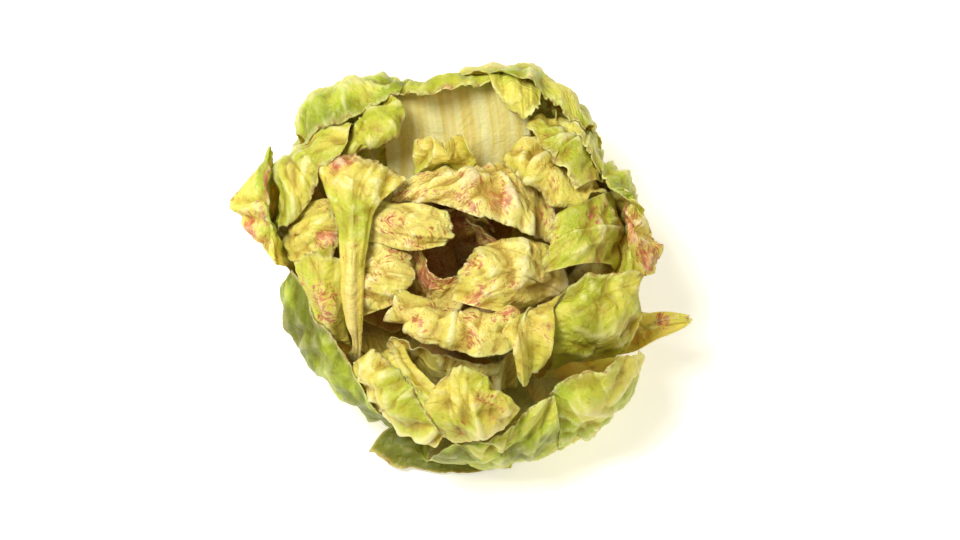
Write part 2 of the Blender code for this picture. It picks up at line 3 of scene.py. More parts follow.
import math

import bmesh
import bpy
import numpy as np
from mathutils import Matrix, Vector, noise
from mathutils.bvhtree import BVHTree


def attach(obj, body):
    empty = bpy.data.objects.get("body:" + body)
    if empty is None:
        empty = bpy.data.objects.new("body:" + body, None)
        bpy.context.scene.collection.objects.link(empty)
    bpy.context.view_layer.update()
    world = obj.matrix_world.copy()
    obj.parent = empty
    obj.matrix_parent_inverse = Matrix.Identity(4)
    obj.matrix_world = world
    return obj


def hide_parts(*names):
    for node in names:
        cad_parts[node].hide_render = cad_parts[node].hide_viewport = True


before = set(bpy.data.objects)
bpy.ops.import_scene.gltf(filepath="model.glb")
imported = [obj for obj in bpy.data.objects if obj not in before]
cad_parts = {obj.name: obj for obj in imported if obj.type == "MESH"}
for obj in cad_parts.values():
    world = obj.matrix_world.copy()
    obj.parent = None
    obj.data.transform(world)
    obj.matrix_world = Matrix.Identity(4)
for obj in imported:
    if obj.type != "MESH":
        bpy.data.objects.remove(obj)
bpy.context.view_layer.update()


# Studio: a white sweep of card under the head, a large soft window up to the left, and a camera
# that looks down at the photograph's angle.
SWEEP_SIZE = 4.0
SWEEP_GLOW = 0.42
CAMERA_HEIGHT_DEGREES = 65
CAMERA_DISTANCE = 1.133
CAMERA_LENS = 85
CAMERA_AIM = Vector((0.0125, 0.0227, 0.0106))
WINDOW_PLACE = Vector((-0.34, -0.02, 0.95))
WINDOW_SIZE = 0.34
WINDOW_WATTS = 9.0
ROOM_LIGHT = 0.52


def linear(colour):
    """An sRGB hex colour, such as E3DC86, as linear red, green, blue and alpha"""
    parts = [int(colour[k:k + 2], 16) / 255 for k in (0, 2, 4)]
    return [part / 12.92 if part <= 0.04045 else ((part + 0.055) / 1.055) ** 2.4
            for part in parts] + [1.0]


def aimed(thing, place, target):
    """Puts a camera or a lamp at a place, looking at the target"""
    thing.location = place
    thing.rotation_mode = "QUATERNION"
    thing.rotation_quaternion = (target - place).to_track_quat("-Z", "Y")
    bpy.context.scene.collection.objects.link(thing)


sweep_body = bmesh.new()
bmesh.ops.create_grid(sweep_body, x_segments=1, y_segments=1, size=SWEEP_SIZE / 2)
sweep_mesh = bpy.data.meshes.new("card_sweep")
sweep_body.to_mesh(sweep_mesh)
sweep_body.free()

# Matt white card, lit a little from within so that it stays white round the head's soft shadow
card = bpy.data.materials.new("matt_white_card")
card.use_nodes = True
card_face = card.node_tree.nodes["Principled BSDF"].inputs
card_face["Base Color"].default_value = linear("FFFFFF")
card_face["Emission Color"].default_value = linear("FFFFFF")
card_face["Emission Strength"].default_value = SWEEP_GLOW
card_face["Roughness"].default_value = 0.8
sweep_mesh.materials.append(card)
sweep = bpy.data.objects.new("card_sweep", sweep_mesh)
bpy.context.scene.collection.objects.link(sweep)

room = bpy.data.worlds.new("room")
room.use_nodes = True
room.node_tree.nodes["Background"].inputs["Color"].default_value = linear("FFF1D0")
room.node_tree.nodes["Background"].inputs["Strength"].default_value = ROOM_LIGHT
bpy.context.scene.world = room
window = bpy.data.lights.new("window", "AREA")
window.energy = WINDOW_WATTS
window.size = WINDOW_SIZE
window.color = linear("FFFCF6")[:3]
aimed(bpy.data.objects.new("window", window), WINDOW_PLACE, Vector((0, 0, 0.05)))

lens = bpy.data.cameras.new("camera")
lens.lens = CAMERA_LENS
camera = bpy.data.objects.new("camera", lens)
look_down = math.radians(CAMERA_HEIGHT_DEGREES)
toward_camera = Vector((0, -math.cos(look_down), math.sin(look_down)))
aimed(camera, CAMERA_AIM + toward_camera * CAMERA_DISTANCE, CAMERA_AIM)
bpy.context.scene.camera = camera
bpy.context.scene.view_settings.view_transform = "Standard"


# Leaves of the heart: thin cream-yellow blades with wine-red flecks, folded round the dark hollow
# in the middle. Each grows from the stump, runs through rows of points to its tip and lies over
# the leaves inside it. Lengths in the leaf lists are millimetres.
MM = 0.001
BLADE_THICKNESS = 0.6
RIB_THICKNESS = 2.6
LEAF_GAP = 0.35
GROUND_GAP = 0.5
GROUND_EASE = 4.0

# The middle of the head, which every leaf is pushed out from, and a distance well outside it
HEART = np.array([0.0, 0.0, 34.0])
OUTSIDE = 400.0

# The stump's outline, (distance from the axis, height), that the first leaves are laid over
STUMP_OUTLINE = ((0, 0), (15.5, 0), (16.8, 1.2), (16.0, 5), (12.5, 12), (9, 20), (5.5, 29), (3, 36), (0, 38))

# Folds, each (turn in degrees, spacing, height), creases along the side ribs, each (spacing, length
# over spacing, height), and the blade's area to each sharp crease, in square millimetres
FOLD_WAVES = ((12, 27, 2.3), (-62, 21, 1.2), (-28, 17, 1.5), (35, 12.5, 0.7), (8, 8.5, 0.4))
FOLD_SHARE = 0.5
CREASES = ((19, 2.6, 3.4), (8, 4.0, -0.5), (3.2, 5.0, 0.35))
CREASE_AREA = 70.0
PLEAT_DEPTH = 0.8
RIM_WAVE = 1.2
RIM_FRILL = 0.35

# How far the side ribs lean toward the tip, up the leaf for each millimetre out from the midrib
RIB_SLOPE = 0.8

# How finely a leaf is read: cells of its rows' smooth net, and of the blade, along and across
NET_CELLS = (96, 60)
BLADE_CELLS = (80, 72)
ROW_SOFTNESS = 5
SIGHT_DEGREES = 65

# The share of its length at which a bleached leaf turns green, near its tip
BLEACH_END = 0.86


def leaf(name, turn, foot, rows, flush=0.3, green=0.0, bleach=0.0, stains=()):
    """One leaf: turn is the way it grows, in degrees about Z. Its foot is a list of (distance from
    the axis, height, width), and its rows, from there to the tip, hold points (right, up, height),
    right and up as the eye sees them from SIGHT_DEGREES above the front. Flush is how much wine
    red it bears, green how green it is and bleach how pale. Stains are wine-red patches, each
    (share of the leaf's length, across, reach, strength)."""
    return dict(name=name, turn=math.radians(turn), foot=foot, rows=rows, flush=flush, green=green,
                bleach=bleach, stains=stains)


def smoothed(line, reach):
    """The rows of line, each averaged with reach rows on either side, the ends kept"""
    bell = np.hanning(2 * reach + 3)[1:-1]
    bell /= bell.sum()
    before = 2 * line[0] - line[reach:0:-1]
    after = 2 * line[-1] - line[-2:-reach - 2:-1]
    whole = np.concatenate([before, line, after])
    return np.stack([np.convolve(column, bell, mode="valid") for column in whole.T], axis=1)


def fold(x):
    """A triangle wave of period 1 with slightly soft corners"""
    return np.arcsin(0.96 * np.sin(2 * math.pi * x)) / math.asin(0.96)


def read_noise(*coordinates):
    """Smooth noise read at every point of a grid, from -1 to 1"""
    values = np.empty(coordinates[0].shape)
    for at in np.ndindex(values.shape):
        values[at] = noise.noise([float(c[at]) if isinstance(c, np.ndarray) else c for c in coordinates])
    return values


def sharp_creases(x, y, half, length, seed):
    """Sharp creases of a limp leaf, steep on one side and slack on the other, as heights over its
    plan. They fan out from its midrib"""
    draw = np.random.default_rng(int(seed) + 7)
    height = np.zeros(x.shape)
    wide = half.max()
    for _ in range(int(2 * wide * length / CREASE_AREA)):
        aside, along = draw.uniform(-1, 1) * wide, draw.uniform(0.12, 1.05) * length
        lean = math.copysign(math.radians(draw.normal(38, 30)), aside)
        reach, steep, slack = draw.uniform(8, 32), draw.uniform(0.9, 2.6), draw.uniform(3.0, 8.5)
        depth = draw.uniform(0.6, 2.1) * draw.choice((1, 1, -1))
        across = (x - aside) * math.cos(lean) - (y - along) * math.sin(lean)
        down = (x - aside) * math.sin(lean) + (y - along) * math.cos(lean)
        across = across + draw.uniform(-0.3, 0.3) * down ** 2 / reach
        flank = np.where(across * lean > 0, steep, slack)
        height += depth * np.exp(-(down / reach) ** 2 - np.abs(across) / flank)
    return height


def folds(v, s, half, length, seed):
    """The height of the pleats, rim waves, folds and creases above the smooth blade, at shares v of
    its half width, from -1 to 1, and s of its length"""
    grown = np.clip((s - 0.18) / 0.82, 0, 1)
    rim = np.clip(np.maximum(np.abs(v), (s - 0.45) / 0.55), 0, 1)
    height = PLEAT_DEPTH * grown ** 1.2 * (0.35 + 0.65 * np.abs(v)) * fold(
        1.5 * v + 0.37 * seed + 0.35 * np.sin(3 * s + seed))
    angle = np.arctan2(v, s - 0.3)
    wave = 0.7 * np.sin(3.3 * angle + 1.3 * seed) + 0.5 * np.sin(6.1 * angle + 2.9 * seed) * np.sin(
        2.3 * angle + 0.7 * seed)
    height += RIM_WAVE * rim ** 3 * wave
    frill = np.sin(19 * angle + 3 * np.sin(5 * angle + seed)) * np.sin(3.7 * angle + 2.2 * seed)
    height += RIM_FRILL * rim ** 6 * frill
    across = v * half + 37.0 * seed
    along = s * length
    drift = read_noise(across / 26, along / 40, seed * 3.1)
    calm = np.clip(0.55 + 0.9 * read_noise(across / 30 + 9, along / 30, seed * 1.7), 0.1, 1.3)
    loose = np.clip(0.12 + 1.2 * grown, 0, 1) * np.clip(half / 20, 0.35, 1)
    for k, (degrees, span, depth) in enumerate(FOLD_WAVES):
        turn = math.radians(degrees + 9 * math.sin(seed * (k + 2.3)))
        crossing = (across * math.cos(turn) + along * math.sin(turn)) / span
        strength = calm if k % 2 else 1.4 - calm
        height += FOLD_SHARE * depth * strength * loose * fold(crossing + 1.5 * drift + 0.61 * seed * (k + 1))
    outward_of_rib = np.abs(v * half)
    beside = along - RIB_SLOPE * outward_of_rib + 6 * drift
    down = np.sign(v) * (outward_of_rib + RIB_SLOPE * along) + 37.0 * seed
    for k, (span, stretch, depth) in enumerate(CREASES):
        lobes = np.abs(read_noise(beside / span, down / (span * stretch), seed * 0.77 + 4.1 * k))
        height += depth * loose * (1 - 0.6 * rim ** 4) * (0.3 - np.sqrt(lobes ** 2 + 0.001))
    height += loose * (1 - 0.5 * rim ** 4) * sharp_creases(v * half, along, half, length, seed)
    return height


def normals(points):
    """The way out of the sheet's back at each of its points"""
    cross = np.cross(np.gradient(points, axis=1), np.gradient(points, axis=0))
    return cross / np.maximum(np.linalg.norm(cross, axis=2, keepdims=True), 1e-9)


def along_line(points, at):
    """A line of points read at shares of its length"""
    far = np.concatenate([[0], np.cumsum(np.linalg.norm(np.diff(points, axis=0), axis=1))])
    return np.stack([np.interp(at, far / far[-1], points[:, k]) for k in range(3)], axis=1)


def net(blade, s, v):
    """A leaf's points at shares s of its length and v of its half width, its half width there and
    its length"""
    out = np.array([math.cos(blade["turn"]), math.sin(blade["turn"]), 0.0])
    left = np.array([-out[1], out[0], 0.0])
    tilt = math.radians(SIGHT_DEGREES)
    lines = [np.array([out * r + [0, 0, z] - left * width / 2, out * r + [0, 0, z] + left * width / 2])
             for r, z, width in blade["foot"]]
    for row in blade["rows"]:
        line = np.array([(right, (up - z * math.cos(tilt)) / math.sin(tilt), z) for right, up, z in row])
        before = lines[-1][-1] - lines[-1][0]
        lines.append(line if (line[-1] - line[0]) @ before > 0 else line[::-1])
    net_rows, net_columns = NET_CELLS
    even = np.linspace(0, 1, net_columns + 1)
    grid = np.stack([smoothed(along_line(line, even), ROW_SOFTNESS) for line in lines])
    steps = np.linalg.norm(np.diff(grid, axis=0), axis=2).mean(axis=1)
    length = steps.sum()
    far = np.concatenate([[0], np.cumsum(steps)]) / length
    fine = np.linspace(0, 1, net_rows + 1)
    columns = [np.stack([np.interp(fine, far, grid[:, c, k]) for k in range(3)], axis=1)
               for c in range(net_columns + 1)]
    grid = np.stack([smoothed(column, ROW_SOFTNESS + 2) for column in columns], axis=1)
    half = np.linalg.norm(np.diff(grid, axis=1), axis=2).sum(axis=1) / 2
    row, column = np.clip(s, 0, 1) * net_rows, (v + 1) * (net_columns / 2)
    i = np.minimum(row.astype(int), net_rows - 1)
    j = np.minimum(column.astype(int), net_columns - 1)
    a, b = (row - i)[..., None], (column - j)[..., None]
    points = (grid[i, j] * (1 - a) + grid[i + 1, j] * a) * (1 - b) + (
        grid[i, j + 1] * (1 - a) + grid[i + 1, j + 1] * a) * b
    return points, np.interp(s, fine, half), length


def spread_evenly(values, times):
    """A grid of values, blurred"""
    for _ in range(times):
        p = np.pad(values, 1, mode="edge")
        rows = (p[:-2] + 2 * p[1:-1] + p[2:]) / 4
        values = (rows[:, :-2] + 2 * rows[:, 1:-1] + rows[:, 2:]) / 4
    return values


def sheet(blade, seed):
    """A leaf's middle surface before it is laid over the others, its thickness, and what its finish
    reads: its plan (across and along in millimetres, its own number), its habit (share of its
    length, rim, flush) and its relief (the height of its folds, that of its sharp creases)"""
    rows, columns = BLADE_CELLS
    across = np.linspace(-1, 1, columns + 1)
    v, u = np.meshgrid(np.sign(across) * np.abs(across) ** 0.9, np.linspace(0, 1, rows + 1) ** 0.85)
    uneven = 0.008 * np.sin(4.3 * v + 2.1 * seed) + 0.005 * np.sin(10.7 * v + 4.4 * seed)
    teeth = 0.013 * read_noise(v * 7, u, seed * 2.3)
    teeth += 0.006 * read_noise(v * 21, u, seed)
    s = u * (1 - 0.012 * np.abs(v) ** 2.6 * u) * (1 + uneven * u ** 2 + teeth * u ** 12)
    points, half, length = net(blade, s, v)
    height = folds(v, s, half, length, seed)
    # A pale fleshy leaf is smooth below its tip, and a green one is firmer than a limp cream one
    height *= 1 - 0.75 * blade["bleach"] * np.clip((0.9 - s) / 0.1, 0, 1)
    height *= 1 - 0.25 * min(1, blade["green"])
    sharp = height - spread_evenly(height, 4)
    relief = np.stack([height - spread_evenly(height, 40), sharp, np.zeros(v.shape)], axis=2)
    points = points + normals(points) * (height + 0.5 * sharp)[..., None]
    rib = RIB_THICKNESS * np.clip(1 - 1.15 * s, 0, 1) ** 1.4 * np.exp(-(v * half / (9 - 5 * s)) ** 2)
    rim = np.clip(np.maximum(np.abs(v), u), 0, 1)
    thick = (BLADE_THICKNESS + rib) * (1 - 0.55 * np.clip((rim - 0.93) / 0.07, 0, 1))
    plan = np.stack([v * half, s * length, np.full(v.shape, seed * 53.0)], axis=2)
    habit = np.stack([s, rim, np.full(v.shape, blade["flush"])], axis=2)
    return points, thick, plan, habit, relief


def spread(push, soften):
    """A push at some points of the grid, carried over smoothly to those around them"""
    p = np.pad(push, 1, mode="edge")
    wide = np.maximum.reduce([p[1:-1, 1:-1], p[:-2, 1:-1], p[2:, 1:-1], p[1:-1, :-2], p[1:-1, 2:]])
    return np.maximum(spread_evenly(wide, soften), push)


def above_ground(points, thick):
    """Lifts the points that would reach the ground, the more gently the higher they are"""
    height = points[..., 2] - thick / 2
    top = GROUND_GAP + GROUND_EASE
    held_up = GROUND_GAP + GROUND_EASE * np.exp((np.minimum(height, top) - top) / GROUND_EASE)
    lifted = points.copy()
    lifted[..., 2] += np.where(height < top, held_up - height, 0)
    return lifted


def laid_over(points, thick, step, soften):
    """Moves the points outward from the heart until each is outside the leaves laid before. It
    reads one point in step each way, and carries the push over to the rest"""
    offset = points[::step, ::step] - HEART
    radius = np.linalg.norm(offset, axis=2)
    way = offset / np.maximum(radius, 1e-6)[..., None]
    push = np.zeros(radius.shape)
    for at in np.ndindex(radius.shape):
        start = Vector(HEART + way[at] * OUTSIDE)
        aim = -Vector(way[at])
        for leaf_back in inner:
            place, _, _, distance = leaf_back.ray_cast(start, aim, OUTSIDE)
            if place is not None:
                need = OUTSIDE - distance + thick[at[0] * step, at[1] * step] / 2 + LEAF_GAP
                push[at] = max(push[at], need - radius[at])
    push = spread(push, soften)
    for axis, size in enumerate(points.shape[:2]):
        where = np.linspace(0, push.shape[axis] - 1, size)
        low = np.minimum(where.astype(int), push.shape[axis] - 2)
        part = (where - low).reshape((-1, 1) if axis == 0 else (1, -1))
        push = np.take(push, low, axis) * (1 - part) + np.take(push, low + 1, axis) * part
    offset = points - HEART
    return points + offset / np.maximum(np.linalg.norm(offset, axis=2), 1e-6)[..., None] * push[..., None]


def blade_mesh(name, points, thick):
    """The closed mesh of a leaf, and for each of the mesh's points its place in the grid and whether
    it is on the leaf's back, 1, or its face, -1"""
    rows, columns = points.shape[0] - 1, points.shape[1] - 1
    reach = normals(points) * (thick / 2)[..., None]
    front = (points - reach).reshape(-1, 3) * MM
    rear = (points + reach).reshape(-1, 3) * MM
    body = bmesh.new()
    bmesh.ops.create_grid(body, x_segments=columns, y_segments=rows, size=1)
    place = body.verts.layers.int.new("place")
    side = body.verts.layers.int.new("side")
    for number, vert in enumerate(body.verts):
        vert[place] = number
        vert[side] = -1
    grown = bmesh.ops.extrude_face_region(body, geom=body.faces[:], use_keep_orig=True)
    for vert in body.verts:
        vert.co = front[vert[place]]
    for vert in grown["geom"]:
        if isinstance(vert, bmesh.types.BMVert):
            vert.co = rear[vert[place]]
            vert[side] = 1
    bmesh.ops.recalc_face_normals(body, faces=body.faces[:])
    if body.calc_volume(signed=True) < 0:
        bmesh.ops.reverse_faces(body, faces=body.faces[:])
    mesh = bpy.data.meshes.new(name)
    body.to_mesh(mesh)
    body.free()
    found = {}
    for layer in ("place", "side"):
        found[layer] = np.empty(len(mesh.vertices), np.int32)
        mesh.attributes[layer].data.foreach_get("value", found[layer])
        mesh.attributes.remove(mesh.attributes[layer])
    mesh.shade_smooth()
    return mesh, found["place"], found["side"]


def grid_faces(points):
    """The four-sided faces of a grid of points"""
    rows, columns = points.shape[0] - 1, points.shape[1]
    corners = (np.arange(rows)[:, None] * columns + np.arange(columns - 1)).ravel()
    return [(a, a + 1, a + columns + 1, a + columns) for a in corners.tolist()]


def grow_leaves(leaves, finish):
    """Shapes each leaf in turn, lays it over those made before it, and puts it on the stump. Its
    finish also reads its tint (green, stain, bleach)"""
    for blade in leaves:
        seed = float(len(inner))
        points, thick, plan, habit, relief = sheet(blade, seed)
        points = laid_over(points, thick, step=6, soften=2)
        points = laid_over(points, thick, step=1, soften=3)
        points = above_ground(points, thick)
        mesh, places, sides = blade_mesh(blade["name"] + "_blade", points, thick)
        bleach = blade["bleach"] * np.clip((BLEACH_END - habit[..., 0]) / 0.05, 0, 1)
        stain = np.zeros(thick.shape)
        for share, across, reach, strength in blade["stains"]:
            far = ((habit[..., 0] - share) * plan[..., 1].max()) ** 2 + (plan[..., 0] - across) ** 2
            stain += strength * np.exp(-far / reach ** 2)
        tint = np.stack([np.full(thick.shape, blade["green"]), stain, bleach], axis=2)
        read_by_finish = (("plan", plan, 1), ("habit", habit, 1), ("tint", tint, 1),
                          ("relief", relief, sides[:, None]))
        for attribute, values, facing in read_by_finish:
            made = mesh.attributes.new(attribute, "FLOAT_VECTOR", "POINT")
            values = values.reshape(-1, 3)[places] * facing
            made.data.foreach_set("vector", values.astype(np.float32).ravel())
        rear = points + normals(points) * (thick / 2)[..., None]
        inner.append(BVHTree.FromPolygons(rear.reshape(-1, 3).tolist(), grid_faces(points)))
        mesh.materials.append(finish)
        piece = bpy.data.objects.new(blade["name"] + "_blade", mesh)
        bpy.context.scene.collection.objects.link(piece)
        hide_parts(blade["name"])
        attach(piece, "root")


def node(tree, kind, *values, **named):
    """Adds a shader node and gives its outputs. Values go to its sockets in order, a name with a
    capital is the socket of that name, and any other name is one of the node's settings"""
    made = tree.nodes.new("ShaderNode" + kind)
    for name, value in named.items():
        if name[0].islower():
            setattr(made, name, value)
    filled = list(zip([socket for socket in made.inputs if socket.enabled], values))
    filled += [(made.inputs[name], value) for name, value in named.items() if name[0].isupper()]
    for socket, value in filled:
        if isinstance(value, bpy.types.NodeSocket):
            tree.links.new(value, socket)
        else:
            socket.default_value = value
    return made.outputs


# Settings of the nodes that ease from one value to another and that mix two colours
SMOOTH = {"interpolation_type": "SMOOTHSTEP"}
COLOUR = {"data_type": "RGBA"}


def toned(tree, colour, tone, value, low, high, most=1.0, damp=1.0):
    """Lays a tone over the colour as a value goes from low to high, up to the share most, and the
    less of it the lower damp is"""
    share = node(tree, "MapRange", value, low, high, 0.0, most, **SMOOTH)[0]
    share = node(tree, "Math", share, damp, operation="MULTIPLY")[0]
    return node(tree, "Mix", share, colour, tone, **COLOUR)[2]


# Tones that every leaf has, beside its own cream, greens, rib and foot. The warm shade is painted
# shade for hollows and grooves, and the crest and crease-edge tones are painted highlights
TAWNY_MOTTLE = "C2A440"
PALE_MOTTLE = "EEE6A0"
BLEACHED = "F3EBB0"
BLEACHED_BAND = "E0CF78"
BLUSH = "E8A486"
LIGHT_WINE = "D4686A"
DARK_WINE = "A63440"
WARM_SHADE = "A07C1C"
PAINTED_CREST_HIGHLIGHT = "F1E8AC"
PAINTED_CREASE_HIGHLIGHT = "F4EEC4"
PALE_RIM = "F0EAB0"
DRIED_RIM = "8F6C34"


def leaf_finish(name, cream, green, deep, rib, foot, painted_shade_share):
    """Crisp satiny leaf: cream to green with deeper clouds, pale ribs and net veins, wine-red dashes
    and flecks, with painted shade in its hollows and grooves and painted highlights on its crests and
    crease edges. Foot is the colour painted toward its foot deep in the head: painted shade on the
    heart and wrapper leaves and a paler base on the outer ones. The last argument is how much the
    painted shade darkens the hollows between its creases. Its patterns lie on the plan, which is in
    millimetres, so a pattern's Scale is one over its size in millimetres"""
    finish = bpy.data.materials.new(name)
    finish.use_nodes = True
    tree = finish.node_tree
    surface = tree.nodes["Principled BSDF"].inputs
    plan = node(tree, "Attribute", attribute_name="plan")["Vector"]
    across, up_leaf, number = node(tree, "SeparateXYZ", plan)
    habit = node(tree, "Attribute", attribute_name="habit")["Vector"]
    along, rim, flush = node(tree, "SeparateXYZ", habit)
    tint = node(tree, "Attribute", attribute_name="tint")["Vector"]
    greenness, stain, bleach = node(tree, "SeparateXYZ", tint)
    raised = node(tree, "Attribute", attribute_name="relief")["Vector"]
    relief, sharp, _ = node(tree, "SeparateXYZ", raised)

    # The side ribs' own directions: lateral goes from rib to rib, and run goes out along a rib. The
    # ribs wander by up to 16 mm, in waves of 14 mm
    aside = node(tree, "Math", across, operation="ABSOLUTE")[0]
    drift = node(tree, "TexNoise", Vector=plan, Scale=0.07, Detail=2)[0]
    bent = node(tree, "Math", drift, 16, up_leaf, operation="MULTIPLY_ADD")[0]
    lateral = node(tree, "Math", aside, -RIB_SLOPE, bent, operation="MULTIPLY_ADD")[0]
    run = node(tree, "Math", up_leaf, RIB_SLOPE, aside, operation="MULTIPLY_ADD")[0]

    # Limp is how soft and blotched the leaf is, less so the greener it is, and coloured is where it
    # isn't bleached
    limp = node(tree, "Math", greenness, 1.0, operation="MINIMUM")[0]
    limp = node(tree, "Math", limp, -0.7, 1.0, operation="MULTIPLY_ADD")[0]
    coloured = node(tree, "Math", 1.0, bleach, operation="SUBTRACT")[0]

    # Cream near the stump and the ribs, greener toward the rims in clouds of 31 mm, and on it tawny
    # and paler mottles of 8 mm
    clouds = node(tree, "TexNoise", Vector=plan, Scale=0.032, Detail=5, Roughness=0.55)[0]
    mottle = node(tree, "TexNoise", Vector=plan, Scale=0.12, Detail=5, Roughness=0.7, Distortion=0.4)[0]
    patchy = node(tree, "Math", greenness, 0.9, 0.6, operation="MULTIPLY_ADD")[0]
    greener = node(tree, "MapRange", clouds, 0.38, 0.62, 0.0, patchy, **SMOOTH)[0]
    greener = node(tree, "Math", greenness, 0.65, greener, operation="MULTIPLY_ADD")[0]
    greener = node(tree, "Math", greener, 0.3, operation="SUBTRACT")[0]
    greener = node(tree, "Math", rim, 0.35, greener, operation="MULTIPLY_ADD")[0]
    colour = toned(tree, linear(cream), linear(green), greener, 0.0, 1.0)
    colour = toned(tree, colour, linear(deep), greener, 0.6, 1.9, 0.8)
    colour = toned(tree, colour, linear(TAWNY_MOTTLE), mottle, 0.5, 0.8, 0.4, limp)
    colour = toned(tree, colour, linear(PALE_MOTTLE), mottle, 0.45, 0.25, 0.35, limp)

    # The midrib, 16 mm wide at the foot and gone toward the tip, the side ribs 9 mm apart, and the
    # net of veins between them, with meshes of 3 mm
    near = node(tree, "Math", along, -7.5, 8.0, operation="MULTIPLY_ADD")[0]
    crown = node(tree, "Math", near, 0.35, operation="MULTIPLY")[0]
    lower = node(tree, "MapRange", along, 0.95, 0.35, **SMOOTH)[0]
    midrib = node(tree, "MapRange", aside, near, crown, 0.0, lower, **SMOOTH)[0]
    phase = node(tree, "Math", lateral, 4.5, operation="PINGPONG")[0]
    within = node(tree, "MapRange", rim, 0.98, 0.5, **SMOOTH)[0]
    side_rib = node(tree, "MapRange", phase, 0.55, 0.0, 0.0, within, **SMOOTH)[0]
    meshes = node(tree, "TexVoronoi", feature="DISTANCE_TO_EDGE", Vector=plan, Scale=0.3, Randomness=0.95)[0]
    veins = node(tree, "MapRange", meshes, 0.12, 0.0, 0.0, 0.5, **SMOOTH)[0]
    veins = node(tree, "Math", veins, side_rib, operation="MAXIMUM")[0]
    pale = node(tree, "Math", limp, 0.25, operation="MULTIPLY")[0]
    pale = node(tree, "Math", veins, pale, operation="MULTIPLY")[0]
    pale = node(tree, "Math", midrib, pale, operation="MAXIMUM")[0]
    pale = node(tree, "Math", pale, 0.85, operation="MULTIPLY")[0]
    colour = node(tree, "Mix", pale, colour, linear(rib), **COLOUR)[2]

    # Where the leaf is bleached: ivory with straw bands, 5 mm wide, that run up it
    drawn_out = node(tree, "Math", up_leaf, 0.035, operation="MULTIPLY")[0]
    band_place = node(tree, "CombineXYZ", across, drawn_out)[0]
    bands = node(tree, "TexNoise", Vector=band_place, Scale=0.2, Detail=4, Roughness=0.55)[0]
    bleached = toned(tree, linear(BLEACHED), linear(BLEACHED_BAND), bands, 0.36, 0.66)
    colour = node(tree, "Mix", bleach, colour, bleached, **COLOUR)[2]

    # Wine-red dashes that follow the side ribs, 1 mm wide and 5 mm long, and flecks of under 2 mm
    # between them, in patches of 13 mm and in the stains, with a faint blush about them
    dash_length = node(tree, "Math", run, 5.0, operation="DIVIDE")[0]
    dash_place = node(tree, "CombineXYZ", lateral, dash_length, number)[0]
    streaks = node(tree, "TexNoise", Vector=dash_place, Scale=1.0, Detail=4, Roughness=0.6)[0]
    breaks = node(tree, "TexNoise", Vector=plan, Scale=0.35, Detail=2)[0]
    patches = node(tree, "TexNoise", Vector=plan, Scale=0.075, Detail=2, Roughness=0.4)[0]
    dots = node(tree, "TexVoronoi", Vector=plan, Scale=0.6, Randomness=1.0)[0]
    where = node(tree, "Math", patches, 0.6, operation="MULTIPLY")[0]
    where = node(tree, "Math", flush, 0.3, where, operation="MULTIPLY_ADD")[0]
    where = node(tree, "Math", stain, 0.12, where, operation="MULTIPLY_ADD")[0]
    grain = node(tree, "Math", breaks, 0.35, where, operation="MULTIPLY_ADD")[0]
    grain = node(tree, "Math", streaks, 0.9, grain, operation="MULTIPLY_ADD")[0]
    dashes = node(tree, "MapRange", grain, 1.2, 1.3, 0.0, 0.8, **SMOOTH)[0]
    dots = node(tree, "Math", dots, -1.6, where, operation="MULTIPLY_ADD")[0]
    flecks = node(tree, "MapRange", dots, 0.17, 0.29, 0.0, 0.56, **SMOOTH)[0]
    soaked = node(tree, "Math", stain, breaks, operation="MULTIPLY")[0]
    wash = node(tree, "MapRange", soaked, 0.4, 1.1, 0.0, 0.22, **SMOOTH)[0]
    wine = node(tree, "Math", dashes, flecks, operation="MAXIMUM")[0]
    wine = node(tree, "Math", wine, wash, operation="MAXIMUM")[0]
    wine = node(tree, "Math", wine, coloured, operation="MULTIPLY")[0]
    red = toned(tree, linear(LIGHT_WINE), linear(DARK_WINE), breaks, 0.35, 0.65)
    colour = toned(tree, colour, linear(BLUSH), where, 0.42, 0.8, 0.13, coloured)
    colour = node(tree, "Mix", wine, colour, red, **COLOUR)[2]

    # Painted light: the foot colour deep in the head (painted shade on the heart and wrapper leaves,
    # the paler base on the outer ones), then painted shade in the hollows and grooves and painted
    # highlights on the crests and crease edges
    shade = node(tree, "Mix", limp, linear(deep), linear(WARM_SHADE), **COLOUR)[2]
    colour = toned(tree, colour, linear(foot), along, 0.78, 0.35, 0.7, coloured)
    colour = toned(tree, colour, shade, relief, 0.3, -1.2, painted_shade_share, coloured)
    colour = toned(tree, colour, linear(PAINTED_CREST_HIGHLIGHT), relief, 0.2, 2.0, 0.35, limp)
    colour = toned(tree, colour, shade, sharp, -0.05, -0.4, painted_shade_share, coloured)
    colour = toned(tree, colour, linear(PAINTED_CREASE_HIGHLIGHT), sharp, 0.08, 0.5, 0.4, limp)

    # Rims paler, here and there dried brown
    dry = node(tree, "MapRange", breaks, 0.48, 0.6, **SMOOTH)[0]
    colour = toned(tree, colour, linear(PALE_RIM), rim, 0.97, 1.0, 0.4)
    colour = toned(tree, colour, linear(DRIED_RIM), rim, 0.97, 1.0, 0.75, dry)

